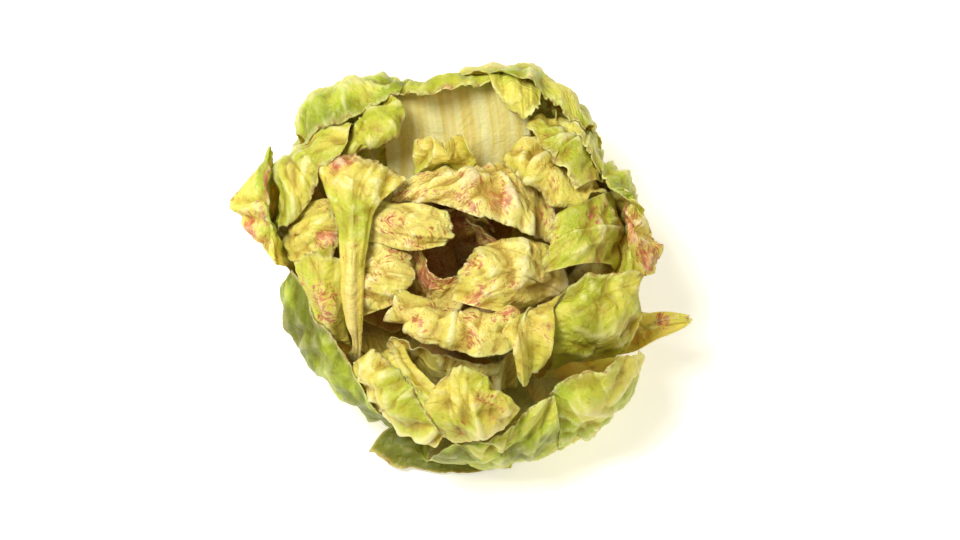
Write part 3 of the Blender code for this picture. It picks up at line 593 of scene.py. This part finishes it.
    # Wrinkles 5 mm apart and 10 mm long, lines under 1 mm apart and 8 mm long, and puckers of 2 mm
    # are too fine for the mesh, and all but the veins are weaker where the leaf is bleached
    wrinkle_length = node(tree, "Math", run, 2.2, operation="DIVIDE")[0]
    wrinkle_place = node(tree, "CombineXYZ", lateral, wrinkle_length, number)[0]
    wrinkles = node(tree, "TexNoise", noise_type="RIDGED_MULTIFRACTAL", normalize=True,
                    Vector=wrinkle_place, Scale=0.22, Detail=4, Roughness=0.55)[0]
    line_length = node(tree, "Math", run, 9.0, operation="DIVIDE")[0]
    line_place = node(tree, "CombineXYZ", lateral, line_length, number)[0]
    lines = node(tree, "TexNoise", Vector=line_place, Scale=1.1, Detail=2)[0]
    puckers = node(tree, "TexNoise", noise_type="RIDGED_MULTIFRACTAL", normalize=True,
                   Vector=plan, Scale=0.45, Detail=3, Roughness=0.5)[0]
    bumps = node(tree, "Math", puckers, 0.45, wrinkles, operation="MULTIPLY_ADD")[0]
    bumps = node(tree, "Math", lines, 0.2, bumps, operation="MULTIPLY_ADD")[0]
    strength = node(tree, "Math", bleach, -0.7, 1.0, operation="MULTIPLY_ADD")[0]
    bumps = node(tree, "Math", bumps, strength, operation="MULTIPLY")[0]
    bumps = node(tree, "Math", veins, -0.12, bumps, operation="MULTIPLY_ADD")[0]
    bump = node(tree, "Bump", Height=bumps, Strength=0.9, Distance=0.0014)[0]

    tree.links.new(colour, surface["Base Color"])
    tree.links.new(bump, surface["Normal"])
    surface["Roughness"].default_value = 0.42
    surface["Specular IOR Level"].default_value = 0.3
    surface["Subsurface Weight"].default_value = 0.65
    surface["Subsurface Radius"].default_value = (1.0, 0.7, 0.25)
    surface["Subsurface Scale"].default_value = 0.0016
    return finish


HEART_LEAVES = (
    leaf("heart_leaf_1", 20, ((4, 40, 8), (16, 50, 18)), (
        ((13, 11, 62), (22, 24, 62), (23, 34, 62), (9, 45, 62)),
        ((11, 20, 78), (18, 31, 78), (18, 40, 78), (6, 50, 78))), flush=0.8, stains=((0.6, 0, 40, 0.6),)),
    leaf("heart_leaf_2", 240, ((4.4, 39, 8), (16, 47, 18)), (
        ((-22, 30, 62), (-18, 14, 62), (-8, 6, 62), (12, 9, 62)),
        ((-14, 37, 80), (-10, 25, 80), (-4, 21, 80), (7, 23, 80))),
        flush=0.8, stains=((0.92, 0, 8, 0.9),)),
    leaf("heart_leaf_3", 120, ((4.8, 37.9, 9), (18, 48, 20)), (
        ((20, 43, 66), (3, 51, 66), (-18, 46, 66), (-25, 24, 66)),
        ((16, 48, 84), (2, 55, 84), (-15, 50, 84), (-21, 32, 84))),
        flush=0.8, stains=((0.5, 0, 40, 0.6),)),
    leaf("heart_leaf_4", 198, ((5.2, 36.9, 9), (36, 44, 34)), (
        ((-52.5, 35, 66), (-52.5, 20, 68), (-50.5, 5, 60)),
        ((-40.5, 38.5, 80), (-42, 22.5, 85), (-41, 4, 73)),
        ((-29.5, 36.5, 84), (-30, 23.5, 90), (-32, 7.5, 78)),
        ((-18.5, 31, 82), (-17, 21, 86), (-26, 10, 80))),
        flush=0.6, stains=((0.93, -14, 4, 0.9),)),
    leaf("heart_leaf_5", 333, ((5.6, 35.9, 9), (38, 44, 36)), (
        ((52.5, 32.5, 66), (52.5, 17.5, 64), (37.5, 4, 58)),
        ((47.5, 35.5, 82), (41.5, 21, 82), (29, 3.5, 76)),
        ((35.5, 40, 88), (28.5, 26, 92), (18.5, 6.5, 84)),
        ((21.5, 41, 88), (15.5, 29, 93), (6.5, 9, 85)),
        ((12.5, 37, 84), (4.5, 27.5, 87), (-1.5, 11.5, 82))),
        flush=0.6, stains=((0.89, -14, 7, 1.3), (0.97, 2, 6, 1.0))),
    leaf("heart_leaf_6", 270, ((6, 34.9, 10), (26, 46, 26)), (
        ((-15, 7, 62), (0, 3, 62), (17, 4, 64)),
        ((-19.5, 15.5, 76), (-6, 11, 79), (12, 8, 82), (28, 8, 80)),
        ((-23.5, 12, 80), (-9, 4, 87), (12, 1, 90), (31, 2, 85)),
        ((-28, 5, 79), (-12, -5, 85), (8, -8.5, 88), (24, -8, 85), (32.5, -4, 80)),
        ((-29.5, 2, 76), (-15, -8, 80), (-3, -12.5, 82), (9, -14.5, 83), (22, -13.5, 81), (31, -8, 78))),
        flush=0.6, stains=((0.7, 22, 7, 1.2), (0.89, -15, 5, 0.9))),
    leaf("heart_leaf_7", 268, ((6.4, 33.8, 10), (40, 38, 40)), (
        ((-29.5, -15, 46), (-2.5, -32, 40), (30.5, -30, 42)),
        ((-32, -10, 60), (-9.5, -22, 58), (12.5, -25, 56), (29.5, -20, 56)),
        ((-29, -6, 68), (-8, -15, 68), (12.5, -18, 67), (28, -12, 66))), flush=0.55),
    leaf("heart_leaf_8", 170, ((6.8, 32.8, 10), (38, 44, 30)), (
        ((-52.5, 57.5, 70), (-52.5, 47.5, 74), (-51.5, 37.5, 70)),
        ((-37.5, 56, 84), (-39.5, 49, 90), (-39.5, 38.5, 84)),
        ((-26.5, 56, 88), (-27.5, 46, 95), (-24.5, 34.5, 86)),
        ((-11.5, 54.5, 88), (-12.5, 45, 95), (-15.5, 34, 88)),
        ((-3.5, 50.5, 86), (1.5, 42, 89), (-4, 37, 86))),
        flush=0.65, stains=((0.81, -3, 6, 0.6),)),
    leaf("heart_leaf_9", 77, ((7.2, 31.8, 11), (28, 50, 44)), (
        ((-15, 69.5, 80), (5, 71, 85), (22.5, 76, 85), (37.5, 70, 78)),
        ((-22.5, 64, 84), (-7.5, 68, 94), (12.5, 68, 98), (28.5, 64, 95), (45, 57.5, 84)),
        ((-27.5, 58.5, 84), (-7.5, 62, 96), (12.5, 59, 101), (30.5, 54, 98), (47.5, 46, 86)),
        ((-29, 57, 82), (-7.5, 56.5, 92), (12.5, 49.5, 96), (32.5, 41.5, 93), (46, 37, 84))),
        flush=0.75, stains=((0.9, -12, 8, 1.0), (0.8, -8, 9, 0.7))),
)

# What the next leaf is laid over: the stump, then the back of every leaf laid so far
stump_rings = [[(r * math.cos(a), r * math.sin(a), z) for a in np.linspace(0, 2 * math.pi, 33)]
               for r, z in STUMP_OUTLINE]
stump_grid = np.array(stump_rings)
inner = [BVHTree.FromPolygons(stump_grid.reshape(-1, 3).tolist(), grid_faces(stump_grid))]

# Cream heart leaf: soft, satiny and half see-through. The eye gets warm butter yellow with short
# wine-red dashes and flecks, and painted warm brown shade in the hollow and between the creases.
heart_finish = leaf_finish("cream_leaf_with_wine_flecks", cream="E8DB7C", green="D2CB56", deep="A0922C",
                           rib="F2EBB2", foot="A8702C", painted_shade_share=0.5)
grow_leaves(HEART_LEAVES, heart_finish)


# Wrapper leaves: larger crumpled blades, yellow-green and lightly streaked with wine red, wrapped
# about the heart and folded over it. They are attached like the leaves of the heart.
WRAPPER_LEAVES = (
    leaf("wrapper_leaf_1", 342, ((7.6, 30.7, 11), (52, 44, 20), (58, 62, 22)), (
        ((22, 6, 80), (30, 7, 85), (45.5, 8.5, 82)),
        ((17.5, 0, 86), (28.5, 1.5, 92), (36, 0, 87), (47, 4, 89)),
        ((26, -9, 84), (30.5, -11, 89), (36.5, -11, 82), (46, -13, 82)),
        ((29.5, -23, 76), (32.5, -29, 74), (36, -27.5, 72), (41.5, -21, 70))), flush=0.5),
    leaf("wrapper_leaf_2", 97, ((8, 29.7, 11), (34, 48, 24)), (
        ((9.5, 67.5, 78), (-5, 67, 79), (-18.5, 66, 76)),
        ((9.5, 78, 90), (3.5, 80, 86), (-1.5, 74, 93), (-8.5, 80, 92), (-17.5, 76, 84)),
        ((5.5, 89.5, 94), (-1.5, 88.5, 90), (-4.5, 84, 96), (-10.5, 89, 96), (-17.5, 86.5, 88)))),
    leaf("wrapper_leaf_3", 175, ((8.4, 28.7, 12), (44, 36, 30)), (
        ((-77.5, 47, 64), (-80.5, 40, 66), (-78.5, 32, 62)),
        ((-72, 51.5, 80), (-75.5, 41, 83), (-74.5, 29, 76)),
        ((-63.5, 58.5, 86), (-64.5, 44, 93), (-65, 30, 84)),
        ((-54.5, 58.5, 86), (-52.5, 44, 90), (-54.5, 29, 84))),
        flush=0.6, stains=((0.95, 6, 6, 1.9),)),
    leaf("wrapper_leaf_4", 205, ((8.8, 27.7, 12), (48, 34, 32)), (
        ((-62.5, -5, 50), (-57, -9, 54), (-49.5, -10, 50)),
        ((-66.5, 9, 68), (-58.5, 7, 76), (-50.5, 6, 70)),
        ((-71, 22, 76), (-62, 20.5, 86), (-51.5, 19.5, 80)),
        ((-73.5, 31, 80), (-63.5, 33.5, 87), (-52, 31.5, 83))),
        flush=0.5, green=0.12, stains=((0.8, -3, 5, 2.2), (0.72, -2, 4, 1.8))),
    leaf("wrapper_leaf_5", 30, ((9.2, 26.6, 12), (48, 42, 44)), (
        ((37.5, 89, 82), (60, 77.5, 82), (73.5, 57.5, 76)),
        ((29.5, 85, 91), (46.5, 76, 96), (63.5, 61, 93)),
        ((24.5, 79.5, 93), (37.5, 70, 100), (52.5, 58.5, 100), (62, 57, 94)),
        ((24, 75.5, 89), (35, 63, 96), (46.5, 54, 97), (60, 52.5, 92))), flush=0.5, green=0.12),
    leaf("wrapper_leaf_6", 95, ((9.6, 25.6, 13), (44, 34, 44)), (
        ((-30, 61, 60), (-2.5, 64, 58), (31.5, 69, 60)),
        ((-33.5, 84, 76), (-2.5, 87, 74), (37.5, 90, 78)),
        ((-36, 105, 90), (-4.5, 110, 91), (33.5, 112, 91)),
        ((-33, 112, 96), (-5, 119, 101), (22.5, 120, 98)),
        ((-27, 108, 98), (-16.5, 106.5, 103.5), (-4.5, 108.5, 106), (7.5, 111, 104), (18.5, 114, 100))),
        flush=0.1, green=0.9, bleach=1, stains=((1.0, -2, 4, 3.2),)),
    leaf("wrapper_leaf_7", 130, ((10, 24.6, 13), (52, 44, 30)), (
        ((-51, 86, 80), (-41.5, 98, 80), (-33, 105, 80)),
        ((-53, 79.5, 91), (-46.5, 89, 96), (-35, 99.5, 100), (-28.5, 104, 98)),
        ((-51.5, 78, 92), (-43.5, 84.5, 98), (-31.5, 91, 103), (-21.5, 101.5, 100)),
        ((-49.5, 77, 90), (-41.5, 83, 94), (-28.5, 86, 97), (-21, 92, 96))), flush=0.3, green=0.3),
    leaf("wrapper_leaf_8", 222, ((10.4, 23.5, 13), (62, 36, 20)), (
        ((-46, -12, 62), (-44.7, -12, 63), (-43.5, -12, 62)),
        ((-51.5, 8, 80), (-47, 7, 84), (-41.5, 6, 80)),
        ((-52, 28, 90), (-46.5, 28, 95), (-40.5, 28, 90)),
        ((-53, 47, 94), (-46, 47, 99), (-38, 47, 95)),
        ((-59, 63, 95), (-49, 62, 101), (-35, 57, 97)),
        ((-65, 72, 95), (-54, 72, 101), (-40, 69, 104), (-26, 63, 98)),
        ((-62, 77, 93), (-50, 79, 98), (-38, 78, 103), (-21, 68, 98))),
        flush=0.4, green=0.22, stains=((0.96, -8, 8, 2.4),)),
    leaf("wrapper_leaf_9", 45, ((10.8, 22.5, 14), (56, 44, 36)), (
        ((45, 99, 82), (66.5, 85, 80), (74.5, 65, 74)),
        ((36.5, 96, 92), (55.5, 85, 96), (64, 66.5, 90)),
        ((33.5, 91.5, 92), (45, 80, 98), (53.5, 59.5, 95))), flush=0.45, green=0.2),
    leaf("wrapper_leaf_10", 5, ((11.2, 21.5, 14), (54, 34, 40)), (
        ((76.5, 61, 68), (78.5, 42.5, 66), (75.5, 25, 62)),
        ((72, 61.5, 86), (73.5, 46, 86), (71, 28.5, 80)),
        ((62, 57.5, 95), (61, 44, 97), (60, 28.5, 91)),
        ((51, 53, 95), (50, 40, 98), (50.5, 26, 91)),
        ((46.5, 49, 91), (45.5, 37, 93), (37.5, 22.5, 86))),
        flush=0.4, green=0.25, stains=((0.8, 6, 8, 1.4),)),
    leaf("wrapper_leaf_11", 246, ((11.6, 20.5, 15), (56, 34, 26)), (
        ((-23.5, -8, 66), (-28.5, -10.5, 68), (-33.5, -12.5, 64)),
        ((-21, -16, 76), (-26.5, -15.5, 80), (-31.5, -16.5, 75)),
        ((-10.5, -26, 78), (-18.5, -27.5, 83), (-25, -27, 76)),
        ((-2.5, -37, 76), (-9.5, -38.5, 80), (-16, -38.5, 74)),
        ((1.5, -46, 70), (-3, -48, 70), (-7.5, -46.5, 68))), flush=0.4),
    leaf("wrapper_leaf_12", 277, ((12, 19.4, 15), (50, 29, 36)), (
        ((-5.5, -51, 54), (7.5, -53, 54), (25.5, -45, 54)),
        ((-5.5, -47, 66), (4.5, -50.5, 68), (18.5, -46, 70), (31.5, -38, 68)),
        ((-11.5, -39, 74), (3.5, -41, 80), (17.5, -38.5, 81), (28, -35.5, 76)),
        ((-12, -30.5, 77), (2.5, -29, 84), (14.5, -30, 83), (23.5, -33.5, 77)),
        ((-7.5, -24.5, 77), (1.5, -19, 81), (12, -20.5, 81), (21, -29, 77))),
        flush=0.5, green=0.35, stains=((0.9, 5, 5, 1.9), (0.75, -9, 4, 1.6))),
    leaf("wrapper_leaf_13", 240, ((12.4, 18.4, 15), (64, 28, 36)), (
        ((-46, -18, 62), (-41, -27, 64), (-31, -40, 62), (-22, -48, 58), (-8, -56, 54)),
        ((-44.5, -16.5, 71), (-36, -26, 76), (-27, -38, 76), (-17, -47, 70), (-7, -55, 62)),
        ((-40, -14.5, 74), (-32, -23, 80), (-22.5, -34, 80), (-13, -44.5, 74), (-5.5, -53, 66)),
        ((-34, -11, 73), (-25, -21.5, 78), (-16, -32, 78), (-8, -42, 73), (-4, -50, 67))),
        flush=0.5, green=0.15),
    leaf("wrapper_leaf_14", 335, ((12.8, 17.4, 16), (56, 26, 44)), (
        ((46.5, -18, 54), (60, -18, 56), (78.5, -13.5, 52)),
        ((46.5, -14, 68), (57.5, -12.5, 72), (68.5, -9.5, 70), (83.5, -6, 60)),
        ((46.5, 4, 80), (56.5, 8, 88), (67.5, 11, 90), (81.5, 9, 82), (88.5, 7, 74)),
        ((50.5, 11, 82), (59.5, 15, 86), (70.5, 18, 86), (82.5, 15, 80)),
        ((54.5, 18, 82), (63, 23, 86), (72.5, 24, 89), (81.5, 26, 88), (87.5, 24, 82))),
        flush=0.1, green=0.6),
    leaf("wrapper_leaf_15", 150, ((13.2, 16.3, 16), (60, 28, 46)), (
        ((-83.5, 44, 56), (-81.5, 75, 60), (-61.5, 93, 64), (-42.5, 100, 64)),
        ((-84, 42, 74), (-84, 74, 82), (-66, 86, 87), (-46, 93, 86)),
        ((-84, 47, 84), (-80, 75, 92), (-63, 84, 96), (-46, 90, 94)),
        ((-80, 46, 86), (-74, 66, 94), (-60, 76, 98), (-47, 83, 98)),
        ((-77, 45, 82), (-67, 57, 90), (-58, 66, 94), (-50, 74, 97))), flush=0.35, green=0.35),
)

# Yellow-green wrapper leaf: satiny and limp. The eye gets cream that turns lime toward the rims,
# with painted olive shade in its hollows and painted golden shade at its foot deep in the head,
# pale ribs and fewer, looser wine marks than the heart has.
wrapper_finish = leaf_finish("yellow_green_leaf", cream="DCCE62", green="B8C43A", deep="7E7C1C",
                             rib="EFE9AE", foot="D2B64E", painted_shade_share=0.45)
grow_leaves(WRAPPER_LEAVES, wrapper_finish)


# Outer leaves: the oldest and greenest, limp at the rim, the last of them lying on the ground.
# They grow from the base of the stump and are attached like the others.
OUTER_LEAVES = (
    leaf("outer_leaf_1", 8, ((13.6, 15.3, 16), (60, 24, 46)), (
        ((72.5, 68, 58), (73.5, 47.5, 56), (75.5, 20, 52)),
        ((78, 66, 80), (77.5, 49, 80), (77.5, 20, 72)),
        ((82, 63, 87), (82.5, 48, 87), (81.5, 20.5, 78)),
        ((86.5, 57, 84), (89, 42, 82), (87, 21.5, 74)),
        ((89.5, 52, 79), (99.5, 37, 72), (96.5, 24, 70))),
        flush=0.6, green=0.1, stains=((0.9, -2, 12, 1.7), (0.8, 8, 9, 1.3))),
    leaf("outer_leaf_2", 44, ((14, 14.3, 17), (74, 34, 40)), (
        ((76.5, 68, 62), (66.5, 90, 66), (45, 104, 66)),
        ((72.5, 72, 82), (62, 89, 88), (47.5, 99, 89)),
        ((71, 67, 85), (59.5, 82, 93), (50.5, 93, 92))), flush=0.2, green=0.1),
    leaf("outer_leaf_3", 24, ((14.4, 13.3, 17), (74, 28, 34)), (
        ((85.5, 40, 60), (86.5, 59, 62), (74.5, 77, 64)),
        ((84.5, 50, 80), (81, 65, 84), (71.5, 75, 85)),
        ((80, 55, 87), (74.5, 62, 90), (68.5, 70, 88))), flush=0.15, green=0.3),
    leaf("outer_leaf_4", 72, ((14.8, 12.2, 17), (64, 30, 40)), (
        ((45.5, 114, 76), (30, 122, 78), (11.5, 114, 76)),
        ((43, 114, 93), (30, 120, 97), (14.5, 115, 95)),
        ((41, 108.5, 98), (28.5, 110, 103), (17.5, 108.5, 98)),
        ((41.5, 101, 96), (33.5, 96, 98), (24, 102, 96), (20.5, 106, 96))), flush=0.12, green=0.2),
    leaf("outer_leaf_5", 215, ((15.2, 11.2, 18), (60, 14, 56)), (
        ((-27, -50, 24), (-42, -43, 26), (-58, -34, 30), (-70, -19, 36), (-80, 4, 42), (-82, 16, 50)),
        ((-30, -45, 40), (-43, -34, 46), (-55, -25, 50), (-65, -10, 54), (-74, 6, 58), (-80, 20, 62)),
        ((-35, -38, 51), (-44, -23, 58), (-51, -11, 62), (-59, 2, 64), (-67, 15, 66), (-75, 26, 67))),
        flush=0.1, green=1.05),
    leaf("outer_leaf_6", 285, ((15.6, 10.2, 18), (62, 12, 56)), (
        ((-13.5, -66, 12), (12.5, -69, 12), (37.5, -65, 14), (53.5, -60, 18)),
        ((-7.5, -61.5, 32), (17.5, -62.5, 36), (36.5, -59.5, 38), (50, -54, 40)),
        ((0, -58, 46), (20.5, -56, 50), (37, -49, 56), (48.5, -42, 60)),
        ((6, -56, 50), (22.5, -50, 58), (35, -39, 66), (46.5, -30, 70))), flush=0.15, green=0.75),
    leaf("outer_leaf_7", 167, ((16, 9.1, 18), (62, 18, 46)), (
        ((-76, 71, 76), (-74.5, 49, 74), (-76.5, 26, 64)),
        ((-79.5, 77, 92), (-79.5, 52.5, 91), (-80, 27.5, 81)),
        ((-83, 84, 94), (-85, 57, 93), (-83.5, 29.5, 82)),
        ((-90, 76, 88), (-94.5, 57, 87), (-90, 35, 78)),
        ((-99.5, 67, 80), (-107, 56.5, 78), (-98.5, 45, 76))),
        flush=0.6, green=0.35, stains=((0.95, 13, 5, 2.4), (0.87, 7, 5, 2.4), (0.8, -9, 6, 2.0))),
    leaf("outer_leaf_8", 353, ((16.4, 8.1, 19), (64, 10, 40)), (
        ((84, 7, 38), (88, -4, 42), (88, -14, 35)),
        ((95, 5, 44), (96, -1, 48), (97.5, -7.5, 44)),
        ((104.5, 6.5, 46), (105, 0.5, 49), (105, -5.5, 46)),
        ((112, 4.5, 45), (114, 1, 46), (112.5, -2, 44))),
        flush=0.55, green=0.05, stains=((0.88, 0, 6, 1.3),)),
    leaf("outer_leaf_9", 62, ((16.8, 7.1, 19), (66, 16, 54)), (
        ((72.5, 81, 40), (55.5, 113, 48), (32.5, 121, 54), (-4, 114, 56)),
        ((66, 93.5, 80), (55.5, 113, 86), (32.5, 123.5, 92), (2, 117, 93)),
        ((63, 94.5, 87), (51, 110.5, 96), (32.5, 121, 102), (15.5, 117, 101)),
        ((61, 90, 88), (52.5, 96, 92), (45.5, 104, 98), (37.5, 113, 103), (24, 118, 103))),
        flush=0.12, green=0.35),
    leaf("outer_leaf_10", 126, ((17.2, 6.1, 19), (64, 14, 54)), (
        ((-78.5, 77.5, 40), (-68.5, 101, 50), (-44.5, 112, 56), (-16, 113, 56)),
        ((-78, 89.5, 72), (-70.5, 104.5, 82), (-54.5, 113, 88), (-21, 116, 90)),
        ((-74, 91, 84), (-64, 103.5, 94), (-51, 110, 98), (-24.5, 112, 98)),
        ((-68.5, 81.5, 84), (-59, 90.5, 91), (-46, 97.5, 96), (-25, 105, 97))), flush=0.02, green=0.5),
    leaf("outer_leaf_11", 320, ((17.6, 5, 20), (70, 8, 54)), (
        ((48.5, -58, 18), (68.5, -52, 20), (83.5, -35, 24), (89.5, -16, 28)),
        ((46.5, -53, 36), (65, -48, 43), (81.5, -33, 47), (89, -16, 49)),
        ((45, -39, 55), (60.5, -34, 64), (76.5, -25, 66), (87.5, -13, 64)),
        ((43.5, -29.5, 64), (57.5, -21.5, 73), (71.5, -17.5, 75), (86.5, -13, 71))), flush=0.12, green=0.25),
    leaf("outer_leaf_12", 262, ((18, 4, 20), (50, 3.5, 50)), (
        ((-27.5, -48.5, 18), (-12.5, -57, 15), (7.5, -61, 11), (33, -62, 8)),
        ((-36, -54, 12), (-22, -64, 9), (-3, -68, 6), (28.5, -68, 4)),
        ((-41.5, -63, 7), (-31, -70, 4), (-12.5, -73, 2.5), (8, -74, 2), (27, -71.5, 2))),
        flush=0.1, green=1.5),
)

# Lime-green outer leaf: satiny and firmer. The eye gets bright lime with dark green clouds, clear pale
# ribs and a thin pale rim that has dried brown here and there.
outer_finish = leaf_finish("lime_green_leaf", cream="E0D766", green="B3C733", deep="545E0E",
                           rib="EDEAB4", foot="DDD792", painted_shade_share=0.26)
grow_leaves(OUTER_LEAVES, outer_finish)



# Stump: the short pale core that every leaf grows from, ridged by the leaves' feet and cut flat
# below, where the air has browned it. It and the leaves are one plant.
STUMP_SIDES = 120
STUMP_RINGS = 70
STUMP_RIDGES = 13
STUMP_PALE = "F1EBD0"
STUMP_DULL = "D9CC96"
CUT_FRESH = "D6BE92"
CUT_BROWNED = "86592F"
CUT_PITH = "5E3C20"

# Cut plant core: matt, waxy and fibrous. The eye gets cream sides and a tan cut that is brown round
# its rim, with darker spots of pith. Object coordinates are in metres, so a Scale of 260 is clouds
# of 4 mm, and 700 is spots 1.4 mm apart.
stump_finish = bpy.data.materials.new("cream_stump_with_browned_cut")
stump_finish.use_nodes = True
tree = stump_finish.node_tree
surface = tree.nodes["Principled BSDF"].inputs
spot = node(tree, "TexCoord")["Object"]
right, back, up = node(tree, "SeparateXYZ", spot)
from_axis = node(tree, "CombineXYZ", right, back)[0]
from_axis = node(tree, "VectorMath", from_axis, operation="LENGTH")["Value"]
cloud = node(tree, "TexNoise", Vector=spot, Scale=260, Detail=5, Roughness=0.65)[0]
pith = node(tree, "TexVoronoi", Vector=spot, Scale=700)[0]
ring = node(tree, "Math", cloud, 0.006, from_axis, operation="MULTIPLY_ADD")[0]
ring = node(tree, "MapRange", ring, 0.012, 0.018, **SMOOTH)[0]
browned = node(tree, "MapRange", cloud, 0.4, 0.65, 0.0, 0.55, **SMOOTH)[0]
browned = node(tree, "Math", ring, browned, operation="MAXIMUM")[0]
cut_colour = node(tree, "Mix", browned, linear(CUT_FRESH), linear(CUT_BROWNED), **COLOUR)[2]
cut_colour = toned(tree, cut_colour, linear(CUT_PITH), pith, 0.4, 0.1, 0.45)
side_colour = node(tree, "Mix", cloud, linear(STUMP_PALE), linear(STUMP_DULL), **COLOUR)[2]
tree.links.new(toned(tree, side_colour, cut_colour, up, 0.0016, 0.0002), surface["Base Color"])
surface["Roughness"].default_value = 0.6
surface["Subsurface Weight"].default_value = 0.3
surface["Subsurface Scale"].default_value = 0.001
fibres = node(tree, "Bump", Height=cloud, Strength=0.5, Distance=0.0006)[0]
tree.links.new(fibres, surface["Normal"])

stump_body = bmesh.new()
outline = np.array([(radius, 0, height) for radius, height in STUMP_OUTLINE])
outline = along_line(outline, np.linspace(0, 1, STUMP_RINGS))
outline_verts = [stump_body.verts.new(point * MM) for point in outline]
outline_edges = [stump_body.edges.new(pair) for pair in zip(outline_verts, outline_verts[1:])]
bmesh.ops.spin(stump_body, geom=outline_verts + outline_edges, cent=(0, 0, 0), axis=(0, 0, 1),
               angle=2 * math.pi, steps=STUMP_SIDES, use_merge=True)
bmesh.ops.remove_doubles(stump_body, verts=stump_body.verts[:], dist=0.00001)
for vert in stump_body.verts:
    around = math.atan2(vert.co.y, vert.co.x)
    ridge = 0.5 + 0.5 * math.sin(STUMP_RIDGES * around + 90 * vert.co.z + 1.4 * math.sin(3 * around))
    shrink = 1 - (0.05 * ridge + 0.02 * noise.noise(vert.co * 240)) * min(1, vert.co.z / 0.003)
    shrink -= 0.012 + 0.012 * math.sin(2 * around + 1) + 0.008 * math.sin(5 * around)
    vert.co.x *= shrink
    vert.co.y *= shrink
bmesh.ops.recalc_face_normals(stump_body, faces=stump_body.faces[:])
stump_mesh = bpy.data.meshes.new("stump_core")
stump_body.to_mesh(stump_mesh)
stump_body.free()
stump_mesh.shade_smooth()
stump_mesh.materials.append(stump_finish)
stump = bpy.data.objects.new("stump_core", stump_mesh)
bpy.context.scene.collection.objects.link(stump)
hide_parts("stump")
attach(stump, "root")
